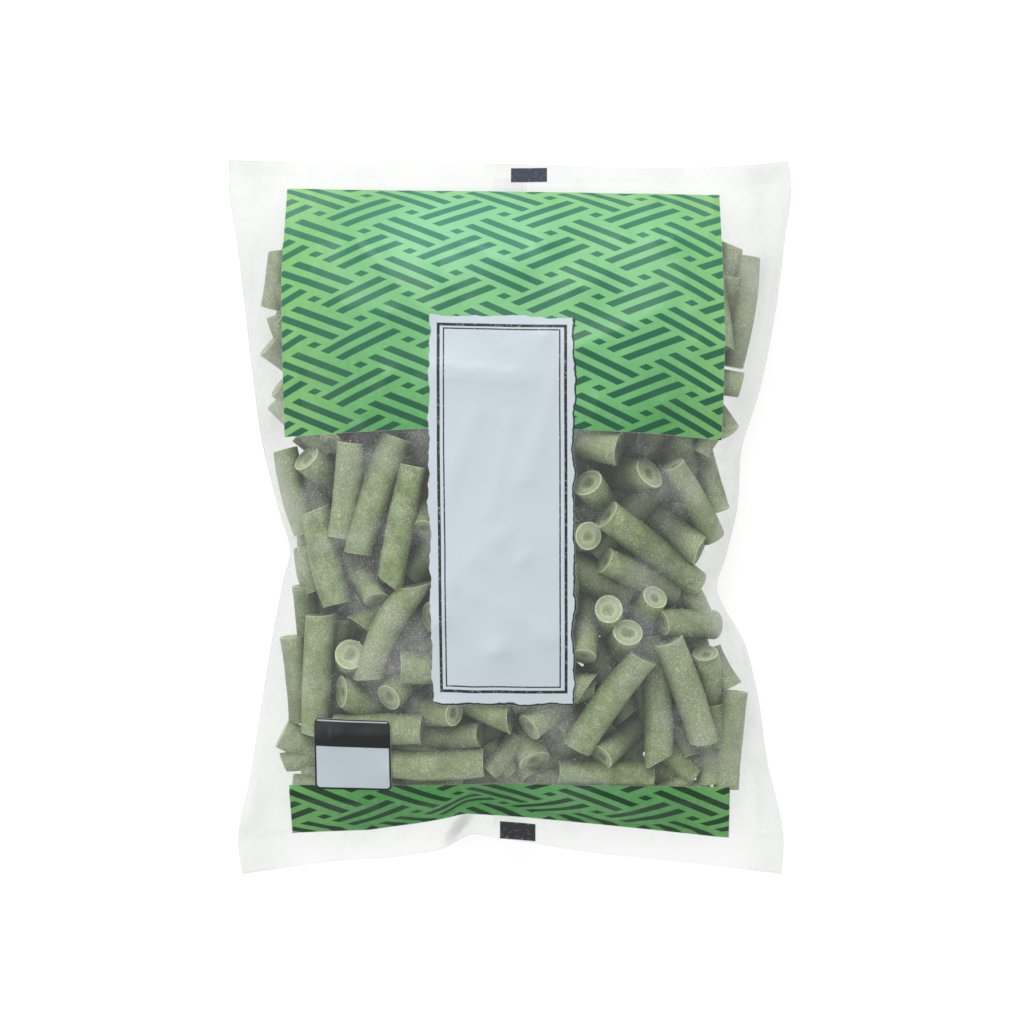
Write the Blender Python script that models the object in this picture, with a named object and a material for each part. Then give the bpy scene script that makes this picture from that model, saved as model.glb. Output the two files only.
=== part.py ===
"""A sealed film packet of cut green beans, lying on its back.

Metres, +Z up. The packet's top seal points to +Y and its printed front looks up (+Z). The origin
is on the surface it lies on, under the middle of the packet's box.
"""
import math

import bmesh
import bpy
import numpy as np
from mathutils import Matrix, Vector

MM = 0.001

# Driving dimensions, in millimetres
LENGTH = 254.6            # top seal to bottom seal, as filled
FULL_HEIGHT = 37.5        # film above the table at the middle
FOLD_HEIGHT = 12.0        # the side folds' height above the table, mid-length
SEAL_HEIGHT = 9.0         # the end seals hover at about this height
TOP_SEAL = 8.0            # depth of the welded strip at the top
BOTTOM_SEAL = 12.0        # depth of the welded strip at the bottom
SEAL_THICK = 0.8          # both layers of film, welded
FILM_WALL = 0.45          # one layer of film, thicker than life so that it is a solid
BEAN_CLEARANCE = 0.8      # between the round beans and the smooth inner face of the film

# The packet's outline seen from above: half outlines as (y, x), end edges as (x, y)
LEFT_EDGE = [(-127, -95.5), (-118, -97.0), (-92, -92.5), (-61, -87.6), (-39, -83.9), (-22, -80.6),
             (-12, -78.2), (0, -81.5), (27, -88.3), (50, -91.5), (99, -97.4), (119, -100.4), (127, -100.2)]
RIGHT_EDGE = [(-127, 96.8), (-117, 97.6), (-86, 91.5), (-60, 87.5), (-42, 82.2), (-33, 76.8), (-26, 73.8),
              (-14, 76.8), (3, 80.8), (25, 82.6), (44, 88.5), (74, 94.7), (99, 98.0), (119, 100.4), (127, 99.4)]
TOP_EDGE = [(-100, 127.3), (-57, 126.0), (0, 125.8), (50, 124.3), (85, 125.6), (100, 127.0)]
BOTTOM_EDGE = [(-96, -127.3), (-64, -123.0), (-37, -120.6), (-24, -117.6), (-15, -112.8), (-5, -114.2),
               (8, -116.4), (28, -119.8), (49, -122.0), (70, -124.2), (97, -127.3)]

# How the fill swells the packet across (s) and along (t), both from -1 to 1
ACROSS_POWER, ACROSS_ROUND = 3.2, 0.60
ALONG_POWER, ALONG_ROUND = 3.4, 0.62
CORNER_POWER = 6        # squareness of the flat part's corners
FLAT_SHARE, BACK_CURVE = 0.58, 1.7   # the flat part of the back, and how it rises outside that

# Stations of the outer film and of the hollow, and how far the hollow reaches
OUTER_ACROSS, OUTER_ALONG = 19, 25
INNER_ACROSS, INNER_ALONG = 17, 23
CAVITY_SIDE, CAVITY_END = 0.988, 0.972

# Back seam: a welded band under the middle, whose open edge is a hairline slit into the packet
SEAM_HALF = 6.0
SEAM_THICK = 1.2
SLIT_WIDTH = 0.3
SLIT_LENGTH = 120.0

# Beans that show through the film, placed by eye: x, y of the raised end, heading in plan, dip from
# level, length, diameter, depth of its top below the film, slant of the near cut and of the far cut
LEADS = [
    (-73, 20, -46, 36, 24, 10.8, 0, 0, 0),       # ring face, upper left
    (-63, 26, 59, 50, 24, 9.1, 3, 0, 0),         # round end under the print
    (-56, 24, -106, 4, 34, 9.1, 3, 0, 0),        # leaning, left of the long one
    (-58, -12, 66, 3, 44, 11.3, 0, 10, 0),       # long one, upper left
    (-43, -26, 75, 5, 44, 9.8, 2, -25, 0),       # right of the long one
    (-32, -4, 66, 42, 24, 10.1, 1, 0, 0),        # ring face beside the label
    (-58, -30, 118, 8, 35, 10.6, 1, 0, 10),      # left slant
    (-45, -28, 141, 20, 31, 9.1, 1, -20, 0),     # short one with a ring face
    (-66, -35, -97, 3, 44, 10.5, 0, 8, -8),      # upright, lower left
    (-56, -48, -109, 60, 19, 11.6, 0, 0, 0),     # end-on with two seed hollows
    (-54, -39, 26, 14, 31, 9.8, 4, 25, 0),       # behind the curved one
    (-30, -22, -115, 3, 42, 10.5, 0, 38, 30),    # curved one
    (-40, -53, 1, 4, 34, 11.4, 3, 0, 0),         # under the label, low
    (-28, -35, 11, 38, 24, 11.4, 1, 0, 0),       # half end beside the label
    (-61, -60, -25, 30, 24, 10.1, 2, 25, 0),     # slanted end, low left
    (-42, -63, 30, 48, 24, 10.1, 1, 0, 0),       # ring, low left
    (-19, -68, 168, 32, 24, 9.8, 2, 0, 0),       # oval end below the label
    (-30, -75, 179, 2, 32, 10.5, 2, -6, 0),      # flat one by the small box
    (-10, -77, 180, 10, 31, 9.8, 6, 0, 0),       # flat one behind it
    (-9, -87, -179, 3, 34, 10.1, 4, 0, 0),       # flat one near the band
    (-83, -75, -38, 10, 33, 10.4, 2, 0, 0),      # low left corner
    (-79, -42, -87, 12, 31, 9.1, 3, 0, 0),       # left edge
    (-76, -26, -101, 20, 31, 9.1, 3, 0, 0),      # left edge, middle
    (-82, 23, -72, 14, 31, 9.4, 3, 0, 0),        # left edge, high
    (-85, 61, -45, 24, 31, 9.1, 2, 0, 0),        # left edge under the margin
    (-82, 72, -18, 20, 31, 8.7, 2, 0, 0),        # left edge, second
    (-82, 46, -39, 20, 31, 8.7, 2, 0, 0),        # left edge, third
    (-80, -101, 14, 5, 30, 9.1, 2, 0, 0),        # low left tip
    (38, 24, 168, 14, 34, 12.0, 1, 0, 0),        # rounded, upper right
    (50, 16, -155, 58, 19, 10.8, 0, 35, 0),      # long ring, upper right
    (58, 19, -63, 12, 32, 8.6, 3, 0, 0),         # thin one, upper right
    (27, 12, -50, 30, 24, 10.6, 1, 0, 0),        # short one beside the label
    (69, -12, 140, 3, 38, 10.6, 0, 12, 0),       # upper diagonal
    (34, 1, -42, 4, 44, 11.3, 0, 0, 0),          # long diagonal
    (27, -7, 162, 68, 19, 10.5, 0, 0, 0),        # round disc
    (33, -16, -21, 14, 31, 9.4, 6, 0, 0),        # deep one, middle right
    (53, -26, -125, 42, 24, 9.8, 1, 0, 0),       # oval end, middle right
    (33, -32, -82, 62, 19, 9.8, 1, 0, 0),        # small ring
    (42, -41, -108, 60, 19, 10.5, 0, 0, 0),      # round face, right
    (27, -49, 72, 26, 31, 9.4, 1, 0, 0),         # hollow end beside the label
    (56, -39, 20, 18, 24, 9.8, 1, 18, 0),        # oval end, right
    (70, -49, -94, 34, 24, 9.4, 2, 0, 0),        # round face, far right
    (29, -60, 180, 10, 31, 9.4, 1, -35, 0),      # tapered end beside the label
    (24, -82, 58, 3, 41, 10.5, 0, 8, 8),         # fan, left
    (51, -88, 91, 4, 46, 10.5, 0, 25, 0),        # fan, middle
    (68, -79, 111, 4, 40, 11.3, 0, -12, 0),      # fan, right
    (33, -84, 29, 12, 28, 9.4, 3, 0, 0),         # tapered one in the fan
    (7, -75, 30, 22, 34, 10.5, 1, 0, 0),         # low middle
    (17, -76, 48, 35, 24, 8.6, 4, 0, 0),         # small round end
    (9, -86, 117, 32, 24, 10.5, 3, 0, 0),        # dark end, low middle
    (17, -90, -2, 3, 34, 9.8, 3, 0, 0),          # flat one above the band
    (1, -71, 160, 8, 32, 10.5, 1, 25, 0),        # below the label
    (78, -97, 91, 4, 35, 9.2, 2, 0, 0),          # right edge, low
    (65, -83, 109, 38, 24, 9.1, 3, 0, 0),        # round icy end
    (87, 93, -102, 4, 40, 9.1, 2, 0, 0),         # tall one, upper right
    (82, 46, 167, 12, 31, 8.7, 3, 0, 0),         # right edge, high
    (79, 30, 121, 12, 31, 9.1, 3, 0, 0),         # right edge, second
    (77, 1, 110, 8, 32, 9.1, 3, 0, 0),           # right edge, third
]

# The rest of the heap, placed by a seeded rule
FILLERS = 104
FILLER_COLUMNS = 8
TOP_BIAS = 0.80           # below 1 sets more of them under the print at the top
SINK = 8.0                # below the film, where the film is clear, so that the placed beans lie on top
LABEL_LEFT, LABEL_RIGHT, LABEL_BOTTOM, PRINT_BOTTOM = -24.0, 20.0, -62.0, 34.0
SEED = 28
FILLER_LENGTH = (30.0, 42.0)
FILLER_DIAMETER = (9.0, 11.2)
CLING = 0.8               # frozen beans run into each other by this much where they touch
PASSES = 420
GROWING_PASSES = 160
NEAR_HOLD = (0.05, 0.05, 0.01)   # how strongly a placed bean's raised end returns to its place
FAR_HOLD = (0.03, 0.03, 0.01)     # the same for its far end
LEAD_GIVE = 0.15          # how far it gives way to its neighbours
FILL_TOP, FILL_BOTTOM = 101.0, -107.0
FILL_HALF_WIDTH, FILL_INSET = 72.0, 24.0
BEAN_SIDES = 8
BEAN_TURN = math.pi / 8   # a flat side faces up
FACET_MAKEUP = 1.035      # corners stand out a little, so that the prism is as thick as a round bean
SLANT_SPREAD = 12.0       # degrees, for the cuts placed by rule
DRAW_IN = 0.6             # share of a slant's reach by which the cut is drawn in
SETTLE_PASSES = 60
CORNER_CLEARANCE = 0.8    # from a bean's corners to the film's inner face, for the film's flat facets
ROUNDING = 1e-5           # millimetres, so that each run gives the same heap


def curve_through(points, x):
    """Read a smooth curve through the points: cubic pieces whose slopes come from their neighbours."""
    knots, values = np.array(points, float).T
    slopes = np.gradient(values, knots)
    i = np.clip(np.searchsorted(knots, x) - 1, 0, len(knots) - 2)
    step = knots[i + 1] - knots[i]
    u = np.clip((x - knots[i]) / step, 0.0, 1.0)
    return ((1 + 2 * u) * (1 - u) ** 2 * values[i] + u * (1 - u) ** 2 * step * slopes[i]
            + u * u * (3 - 2 * u) * values[i + 1] - u * u * (1 - u) * step * slopes[i + 1])


def plan(s, v):
    """Where (s, v) lies seen from above: s runs across from -1 to 1, v from bottom 0 to top 1."""
    level = (v - 0.5) * LENGTH
    left, right = curve_through(LEFT_EDGE, level), curve_through(RIGHT_EDGE, level)
    x = (left + right) / 2 + s * (right - left) / 2
    bottom, top = curve_through(BOTTOM_EDGE, s * 97), curve_through(TOP_EDGE, s * 100)
    return x, bottom + v * (top - bottom)


def along(v):
    """The fill's own measure along the packet, -1 and 1 at the inner lines of the two seals."""
    low, high = BOTTOM_SEAL / LENGTH, 1 - TOP_SEAL / LENGTH
    return 2 * (v - low) / (high - low) - 1


def swell(x, power, roundness):
    """1 at the middle and 0 at the edge; past 0.97 it runs straight on, so that it falls below 0."""
    joint, step = 0.97, 0.01
    inside = np.minimum(np.abs(x), joint)
    value = (1 - inside ** power) ** roundness
    before = (1 - (joint - step) ** power) ** roundness
    last = (1 - joint ** power) ** roundness
    to_zero = last / (1 - joint)
    return value - np.maximum(np.abs(x) - joint, 0.0) * np.maximum(to_zero, (before - last) / step)


def fold_height(s, v):
    """Height of the mid-line between front and back: the side folds, and the wavy end seals."""
    t = np.clip(along(v), -1.0, 1.0)
    x = s * 98
    top = SEAL_HEIGHT + 1.2 * np.sin(x / 23 + 0.6)
    bottom = SEAL_HEIGHT - 1.0 + 6.0 * np.exp(-((x + 16) / 16) ** 2) + 1.0 * np.sin(x / 19 + 2.0)
    seals = np.where(t > 0, top, bottom)
    return seals + (FOLD_HEIGHT - seals) * (1 - t * t)


def front(s, v):
    """Outer height of the printed front."""
    lengthways = np.maximum(swell(along(v), ALONG_POWER, ALONG_ROUND), 0.0)
    rise = (FULL_HEIGHT - FOLD_HEIGHT) * lengthways * swell(s, ACROSS_POWER, ACROSS_ROUND)
    return fold_height(s, v) + rise + SEAL_THICK / 2


def back(s, v):
    """Outer height of the back: flat on the table, rising to the folds and seals."""
    corner = np.abs(s) ** CORNER_POWER + np.abs(along(v)) ** CORNER_POWER
    reach = np.clip(corner ** (1 / CORNER_POWER), 0.0, 1.0)
    curl = np.clip((reach - FLAT_SHARE) / (1 - FLAT_SHARE), 0.0, 1.0) ** BACK_CURVE
    return (fold_height(s, v) - SEAL_THICK / 2) * curl


def under(s, v):
    """The back as the fill feels it: raised over the welded seam band, less one wall."""
    x, _ = plan(s, v)
    band = np.clip(1 - (x / (SEAM_HALF * 2)) ** 4, 0, 1)
    return np.maximum(back(s, v), (SEAM_THICK - FILM_WALL) * band)


def where(x, y):
    """The (s, v) of a point seen from above, found by a few rounds of correction."""
    v = y / LENGTH + 0.5
    for _ in range(4):
        level = (v - 0.5) * LENGTH
        left, right = curve_through(LEFT_EDGE, level), curve_through(RIGHT_EDGE, level)
        s = (2 * x - left - right) / (right - left)
        bottom = curve_through(BOTTOM_EDGE, np.clip(s, -1, 1) * 97)
        top = curve_through(TOP_EDGE, np.clip(s, -1, 1) * 100)
        v = (y - bottom) / (top - bottom)
    return s, v


class HeightMap:
    """A height over the plan on an even grid, read back with its slopes by blending four corners."""

    def __init__(self, height, step=1.5, half_x=106.5, half_y=132.0):
        self.step, self.half_x, self.half_y = step, half_x, half_y
        xs = np.arange(-half_x, half_x + step / 2, step)
        ys = np.arange(-half_y, half_y + step / 2, step)
        x, y = np.meshgrid(xs, ys, indexing="ij")
        values = height(*where(x, y))
        self.layers = [np.round(a, 6) for a in (values, *np.gradient(values, step))]

    def read(self, x, y):
        """Height and its slopes along x and y."""
        shape = self.layers[0].shape
        gx = np.clip((x + self.half_x) / self.step, 0, shape[0] - 1.001)
        gy = np.clip((y + self.half_y) / self.step, 0, shape[1] - 1.001)
        i, j = gx.astype(int), gy.astype(int)
        a, b = gx - i, gy - j
        return [(1 - a) * (1 - b) * m[i, j] + a * (1 - b) * m[i + 1, j]
                + (1 - a) * b * m[i, j + 1] + a * b * m[i + 1, j + 1] for m in self.layers]


def dot(a, b):
    return a[:, 0] * b[:, 0] + a[:, 1] * b[:, 1] + a[:, 2] * b[:, 2]


def direction(heading, dip):
    """Unit vector for a heading in plan and a dip below level, both in degrees."""
    heading, dip = np.radians(heading), np.radians(dip)
    return np.stack([np.cos(dip) * np.cos(heading), np.cos(dip) * np.sin(heading), -np.sin(dip)], axis=-1)


def nearest_points(start_i, end_i, start_j, end_j):
    """Share along each of two straight lines at which they come closest."""
    run_i, run_j, gap = end_i - start_i, end_j - start_j, start_i - start_j
    a, e, b = dot(run_i, run_i), dot(run_j, run_j), dot(run_i, run_j)
    c, f = dot(run_i, gap), dot(run_j, gap)
    spread = np.maximum(a * e - b * b, 1e-6)
    share_i = np.clip((b * f - c * e) / spread, 0, 1)
    share_j = np.clip((b * share_i + f) / e, 0, 1)
    return np.clip((b * share_j - c) / a, 0, 1), share_j


def bean_corners(start, end, radius, slants):
    """Corners of every bean's two cut ends, as an array of beans, ends, corners and x, y, z.

    Corners go round the axis at the bean's radius. A slanted cut leans its ring along the axis by the
    tangent of its slant, and is drawn in by part of that, so that the bean keeps its length.
    """
    way = (end - start) / np.sqrt(dot(end - start, end - start))[:, None]
    steep = np.abs(way[:, 2:3]) > 0.97
    side = np.cross(way, np.where(steep, (0.0, 1.0, 0.0), (0.0, 0.0, 1.0)))
    side /= np.sqrt(dot(side, side))[:, None]
    over = np.cross(side, way)
    angle = BEAN_TURN + 2 * math.pi * np.arange(BEAN_SIDES) / BEAN_SIDES
    round_x, round_y = np.cos(angle)[None, :, None], np.sin(angle)[None, :, None]
    across = round_x * side[:, None] + round_y * over[:, None]
    fat = (radius * FACET_MAKEUP)[:, None, None]
    rings = []
    for centre, number, inwards in ((start, 0, 1.0), (end, 1, -1.0)):
        lean = np.tan(np.radians(slants[:, number]))[:, None, None]
        drawn_in = inwards * DRAW_IN * np.abs(lean)
        rings.append(centre[:, None] + fat * (across + (round_x * lean + drawn_in) * way[:, None]))
    return np.stack(rings, axis=1)


def push_inside(start, end, radius, slants, sheets):
    """Shift whole beans inwards until every corner is clear of the film's inner face."""
    for _ in range(SETTLE_PASSES):
        corners = bean_corners(start, end, radius, slants)
        flat = corners.reshape(-1, 3)
        shift = np.zeros_like(start)
        for sheet, sign in zip(sheets, (-1.0, 1.0)):
            height, slope_x, slope_y = sheet.read(flat[:, 0], flat[:, 1])
            steep = np.sqrt(1 + slope_x ** 2 + slope_y ** 2)
            short = FILM_WALL + CORNER_CLEARANCE - sign * (flat[:, 2] - height) / steep
            inwards = np.stack([-slope_x, -slope_y, np.ones(len(flat))], axis=1) * (sign / steep)[:, None]
            short = np.clip(short, 0, 2).reshape(len(start), -1)
            worst = np.argmax(short, axis=1)
            rows = np.arange(len(start))
            shift += inwards.reshape(len(start), -1, 3)[rows, worst] * short[rows, worst][:, None]
        start = np.round((start + shift) / ROUNDING) * ROUNDING
        end = np.round((end + shift) / ROUNDING) * ROUNDING
    return start, end


def seen_through(point):
    """True where the film over a point is clear: below the print, and not under the label panel."""
    x, y = point[:, 0], point[:, 1]
    under_label = (x > LABEL_LEFT) & (x < LABEL_RIGHT) & (y > LABEL_BOTTOM)
    return (y < PRINT_BOTTOM) & ~under_label


def heap_of_beans():
    """Place every bean: start and end of its axis, radius and the slants of its two cuts.

    Each bean is a stick with round ends. In every pass, sticks that run into each other are pushed
    apart, sticks that touch the film are pushed inwards, and the placed ones are drawn back to
    their places. The sticks grow to full thickness over the first passes.
    """
    rng = np.random.default_rng(SEED)
    lead = np.array(LEADS, float)
    placed = len(lead)
    upper, lower = HeightMap(front), HeightMap(under)
    count = placed + FILLERS
    length = np.concatenate([lead[:, 4], rng.uniform(*FILLER_LENGTH, FILLERS)])
    radius = np.concatenate([lead[:, 5], rng.uniform(*FILLER_DIAMETER, FILLERS)]) / 2
    slants = np.concatenate([lead[:, 7:9], np.clip(rng.normal(0, SLANT_SPREAD, (FILLERS, 2)), -24, 24)])
    heading = np.concatenate([lead[:, 2], rng.uniform(0, 360, FILLERS)])
    dip = np.concatenate([lead[:, 3], rng.normal(0, 10, FILLERS)])
    way = direction(heading, dip)
    core = length - radius                       # the stick's round ends reach to the bean's flat cuts
    film = upper.read(lead[:, 0], lead[:, 1])[0] - FILM_WALL - BEAN_CLEARANCE
    near = np.stack([lead[:, 0], lead[:, 1], film - lead[:, 6] - radius[:placed]], axis=1)
    near += way[:placed] * radius[:placed, None] / 2
    middle = np.empty((count, 3))
    middle[:placed] = near + way[:placed] * core[:placed, None] / 2
    column, row = np.arange(FILLERS) % FILLER_COLUMNS, np.arange(FILLERS) // FILLER_COLUMNS
    side = (column + rng.uniform(0, 1, FILLERS)) / FILLER_COLUMNS
    run = np.minimum((row + rng.uniform(0, 1, FILLERS)) / (FILLERS / FILLER_COLUMNS), 1.0)
    middle[placed:, 0] = FILL_HALF_WIDTH * (2 * side - 1)
    middle[placed:, 1] = FILL_BOTTOM + FILL_INSET / 2 + (FILL_TOP - FILL_BOTTOM - FILL_INSET) * run ** TOP_BIAS
    top = upper.read(middle[placed:, 0], middle[placed:, 1])[0]
    middle[placed:, 2] = FILL_INSET / 4 + (top - FILL_INSET / 2) * rng.uniform(0, 1, FILLERS)
    half = way * core[:, None] / 2
    start, end = middle - half, middle + half
    home_start, home_end = start[:placed].copy(), end[:placed].copy()
    filler = np.arange(count) >= placed
    give = np.where(filler, 1.0, LEAD_GIVE)
    one, other = np.triu_indices(count, 1)
    for number in range(PASSES):
        grown = min(1.0, 0.5 + 0.5 * number / GROWING_PASSES)
        thick = radius * grown
        share_i, share_j = nearest_points(start[one], end[one], start[other], end[other])
        point_i = start[one] + (end[one] - start[one]) * share_i[:, None]
        point_j = start[other] + (end[other] - start[other]) * share_j[:, None]
        apart = point_i - point_j + np.array([0.0, 0.0, 1e-4])
        distance = np.sqrt(dot(apart, apart))
        short = thick[one] + thick[other] - CLING - distance
        hit = short > 0
        i, j = one[hit], other[hit]
        push = apart[hit] / distance[hit][:, None] * short[hit][:, None] * 0.55
        part_i = (give[i] / (give[i] + give[j]))[:, None]
        move_start, move_end = np.zeros_like(start), np.zeros_like(end)
        a, b = share_i[hit][:, None], share_j[hit][:, None]
        np.add.at(move_start, i, push * part_i * (1 - a))
        np.add.at(move_end, i, push * part_i * a)
        np.add.at(move_start, j, -push * (1 - part_i) * (1 - b))
        np.add.at(move_end, j, -push * (1 - part_i) * b)
        start, end = start + move_start, end + move_end
        start[:placed] += np.array(NEAR_HOLD) * (home_start - start[:placed])
        end[:placed] += np.array(FAR_HOLD) * (home_end - end[:placed])
        for share in (0.0, 0.5, 1.0):
            point = start + (end - start) * share
            shift = np.zeros_like(point)
            room = thick + FILM_WALL + BEAN_CLEARANCE + (0.0 if share == 0.5 else 0.6)
            for sheet, sign, sink in ((upper, -1.0, SINK * filler * seen_through(point)), (lower, 1.0, 0.0)):
                height, slope_x, slope_y = sheet.read(point[:, 0], point[:, 1])
                steep = np.sqrt(1 + slope_x ** 2 + slope_y ** 2)
                clear = sign * (point[:, 2] - height) / steep
                inwards = np.stack([-slope_x, -slope_y, np.ones(count)], axis=1) / steep[:, None] * sign
                shift += inwards * np.clip(room + sink - clear, 0, 3.0)[:, None]
            shift[:, 1] += np.clip(FILL_BOTTOM + thick - point[:, 1], 0, 3)
            shift[:, 1] -= np.clip(point[:, 1] + thick - FILL_TOP, 0, 3)
            start = start + shift * (1 - share)
            end = end + shift * share
        centre, run_of = (start + end) / 2, end - start
        half = run_of * (core / np.sqrt(dot(run_of, run_of)))[:, None] / 2
        start = np.round((centre - half) / ROUNDING) * ROUNDING
        end = np.round((centre + half) / ROUNDING) * ROUNDING
    reach = (end - start) * (radius / core / 2)[:, None]
    start, end = push_inside(start - reach, end + reach, radius, slants, (upper, lower))
    return start, end, radius, slants


def make_bean(name, rings, collection):
    """A closed prism between a bean's two cut ends."""
    body = bmesh.new()
    near, far = ([body.verts.new(Vector(point) * MM) for point in ring] for ring in rings)
    for i in range(BEAN_SIDES):
        j = (i + 1) % BEAN_SIDES
        body.faces.new((near[i], near[j], far[j], far[i]))
    body.faces.new(near[::-1])
    body.faces.new(far)
    bmesh.ops.recalc_face_normals(body, faces=body.faces)
    mesh = bpy.data.meshes.new(name)
    body.to_mesh(mesh)
    body.free()
    bean = bpy.data.objects.new(name, mesh)
    collection.objects.link(bean)
    return bean


def keep_outer_shell(mesh):
    """Drop loose scraps and fill sealed hollows: only the largest connected surface stays."""
    body = bmesh.new()
    body.from_mesh(mesh)
    bmesh.ops.triangulate(body, faces=body.faces)
    bmesh.ops.dissolve_degenerate(body, dist=1e-6, edges=body.edges)
    body.verts.ensure_lookup_table()
    seen, shells = set(), []
    for first in body.verts:
        if first.index in seen:
            continue
        seen.add(first.index)
        shell, front_line = [first], [first]
        while front_line:
            for edge in front_line.pop().link_edges:
                for vertex in edge.verts:
                    if vertex.index not in seen:
                        seen.add(vertex.index)
                        shell.append(vertex)
                        front_line.append(vertex)
        shells.append(shell)
    shells.sort(key=len)
    bmesh.ops.delete(body, geom=[v for shell in shells[:-1] for v in shell], context="VERTS")
    body.to_mesh(mesh)
    body.free()
    return len(shells)


def make_beans(collection, material):
    """All beans, fused into one body where they cling together."""
    corners = bean_corners(*heap_of_beans())
    pieces = bpy.data.collections.new("loose_beans")
    bpy.context.scene.collection.children.link(pieces)
    beans = [make_bean(f"bean_{i:03d}", rings, pieces) for i, rings in enumerate(corners)]
    heap = beans[0]
    pieces.objects.unlink(heap)
    collection.objects.link(heap)
    heap.name = "cut_beans"
    union = heap.modifiers.new("fuse", "BOOLEAN")
    union.operation = "UNION"
    union.operand_type = "COLLECTION"
    union.collection = pieces
    union.solver = "EXACT"
    bpy.context.view_layer.update()
    fused = bpy.data.meshes.new_from_object(heap.evaluated_get(bpy.context.evaluated_depsgraph_get()))
    heap.modifiers.clear()
    heap.data = fused
    for piece in list(pieces.objects):
        bpy.data.objects.remove(piece)
    bpy.data.collections.remove(pieces)
    keep_outer_shell(fused)
    fused.materials.clear()
    fused.materials.append(material)
    return heap


def spaced(count, power):
    """Stations from -1 to 1, closer together towards the ends."""
    u = np.linspace(-1, 1, count)
    return np.sin(u * math.pi / 2 * power) / math.sin(math.pi / 2 * power)


def pillow(name, across, lengthways, top, bottom, collection):
    """A closed body between two height sheets over the same stations, with a rim all round."""
    s, v = np.meshgrid(across, lengthways, indexing="ij")
    x, y = plan(s, v)
    rows, columns = s.shape
    body = bmesh.new()
    sheets = []
    for height in (top(s, v), bottom(s, v)):
        points = np.stack([x, y, height], axis=-1) * MM
        sheets.append([[body.verts.new(points[i, j]) for j in range(columns)] for i in range(rows)])
    for sheet, order in zip(sheets, (1, -1)):
        for i in range(rows - 1):
            for j in range(columns - 1):
                corners = (sheet[i][j], sheet[i + 1][j], sheet[i + 1][j + 1], sheet[i][j + 1])
                body.faces.new(corners[::order])
    body.edges.ensure_lookup_table()
    rims = [edge for edge in body.edges if edge.is_boundary]
    bmesh.ops.bridge_loops(body, edges=rims)
    bmesh.ops.recalc_face_normals(body, faces=body.faces)
    bmesh.ops.triangulate(body, faces=body.faces)
    mesh = bpy.data.meshes.new(name)
    body.to_mesh(mesh)
    body.free()
    result = bpy.data.objects.new(name, mesh)
    collection.objects.link(result)
    return result


def inner(height, sign, step=2e-3):
    """The wall's inner face below (or above) a height sheet: a wall's thickness along its slope."""
    def sheet(s, v):
        x, y = plan(s, v)
        x1, y1 = plan(s + step, v)
        x2, y2 = plan(s, v + step)
        here = height(s, v)
        slope_x = (height(s + step, v) - here) / np.maximum(x1 - x, 1e-6)
        slope_y = (height(s, v + step) - here) / np.maximum(y2 - y, 1e-6)
        return here + sign * FILM_WALL * np.sqrt(1 + slope_x ** 2 + slope_y ** 2)
    return sheet


def box(name, size, place, collection):
    """A plain box for cutting, its size applied to its mesh."""
    body = bmesh.new()
    bmesh.ops.create_cube(body, size=1.0, matrix=Matrix.Translation(Vector(place) * MM) @ Matrix.Diagonal(
        (*(Vector(size) * MM), 1.0)))
    mesh = bpy.data.meshes.new(name)
    body.to_mesh(mesh)
    body.free()
    result = bpy.data.objects.new(name, mesh)
    result.display_type = "WIRE"
    result.hide_render = True
    collection.objects.link(result)
    return result


def make_bag(collection, cutters, material):
    """The film: outer pillow with its two welded ends, hollowed, with the back seam's slit."""
    across = spaced(OUTER_ACROSS, 0.86)
    ends = np.array([0.0, BOTTOM_SEAL / LENGTH, 1 - TOP_SEAL / LENGTH, 1.0])
    fill = ends[1] + (ends[2] - ends[1]) * (spaced(OUTER_ALONG, 0.8) + 1) / 2
    bag = pillow("film_bag", across, np.concatenate([ends[:1], fill, ends[3:]]), front, back, collection)
    reach = (ends[2] - ends[1]) * (1 - CAVITY_END) / 2
    hollow_rows = ends[1] + reach + (ends[2] - ends[1] - 2 * reach) * (spaced(INNER_ALONG, 0.8) + 1) / 2
    hollow = pillow("hollow", spaced(INNER_ACROSS, 0.8) * CAVITY_SIDE, hollow_rows, inner(front, -1.0),
                    inner(under, 1.0), cutters)
    hollow.display_type = "WIRE"
    hollow.hide_render = True
    slit = box("seam_slit", (SLIT_WIDTH, SLIT_LENGTH, 4.0), (-SEAM_HALF, 0.0, 0.0), cutters)
    groove = box("seam_groove", (SLIT_WIDTH, SLIT_LENGTH, 0.6), (SEAM_HALF, 0.0, 0.0), cutters)
    for cutter in (hollow, slit, groove):
        cut = bag.modifiers.new(cutter.name, "BOOLEAN")
        cut.operation = "DIFFERENCE"
        cut.object = cutter
    bag.data.materials.append(material)
    return bag


def make_material(name, colour, roughness, alpha=1.0):
    """A plain Principled material in the part's colour."""
    material = bpy.data.materials.new(name)
    material.use_nodes = True
    shader = material.node_tree.nodes["Principled BSDF"]
    shader.inputs["Base Color"].default_value = (*colour, 1.0)
    shader.inputs["Roughness"].default_value = roughness
    shader.inputs["Metallic"].default_value = 0.0
    shader.inputs["Alpha"].default_value = alpha
    return material


def main():
    for old in list(bpy.data.objects):
        bpy.data.objects.remove(old)
    parts = bpy.data.collections.new("bean_packet")
    cutters = bpy.data.collections.new("cutters")
    for collection in (parts, cutters):
        bpy.context.scene.collection.children.link(collection)
    film = make_material("clear_film", (0.80, 0.84, 0.82), 0.25, alpha=0.35)
    bean_skin = make_material("bean_skin", (0.19, 0.25, 0.12), 0.6)
    make_bag(parts, cutters, film)
    make_beans(parts, bean_skin)


main()
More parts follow.
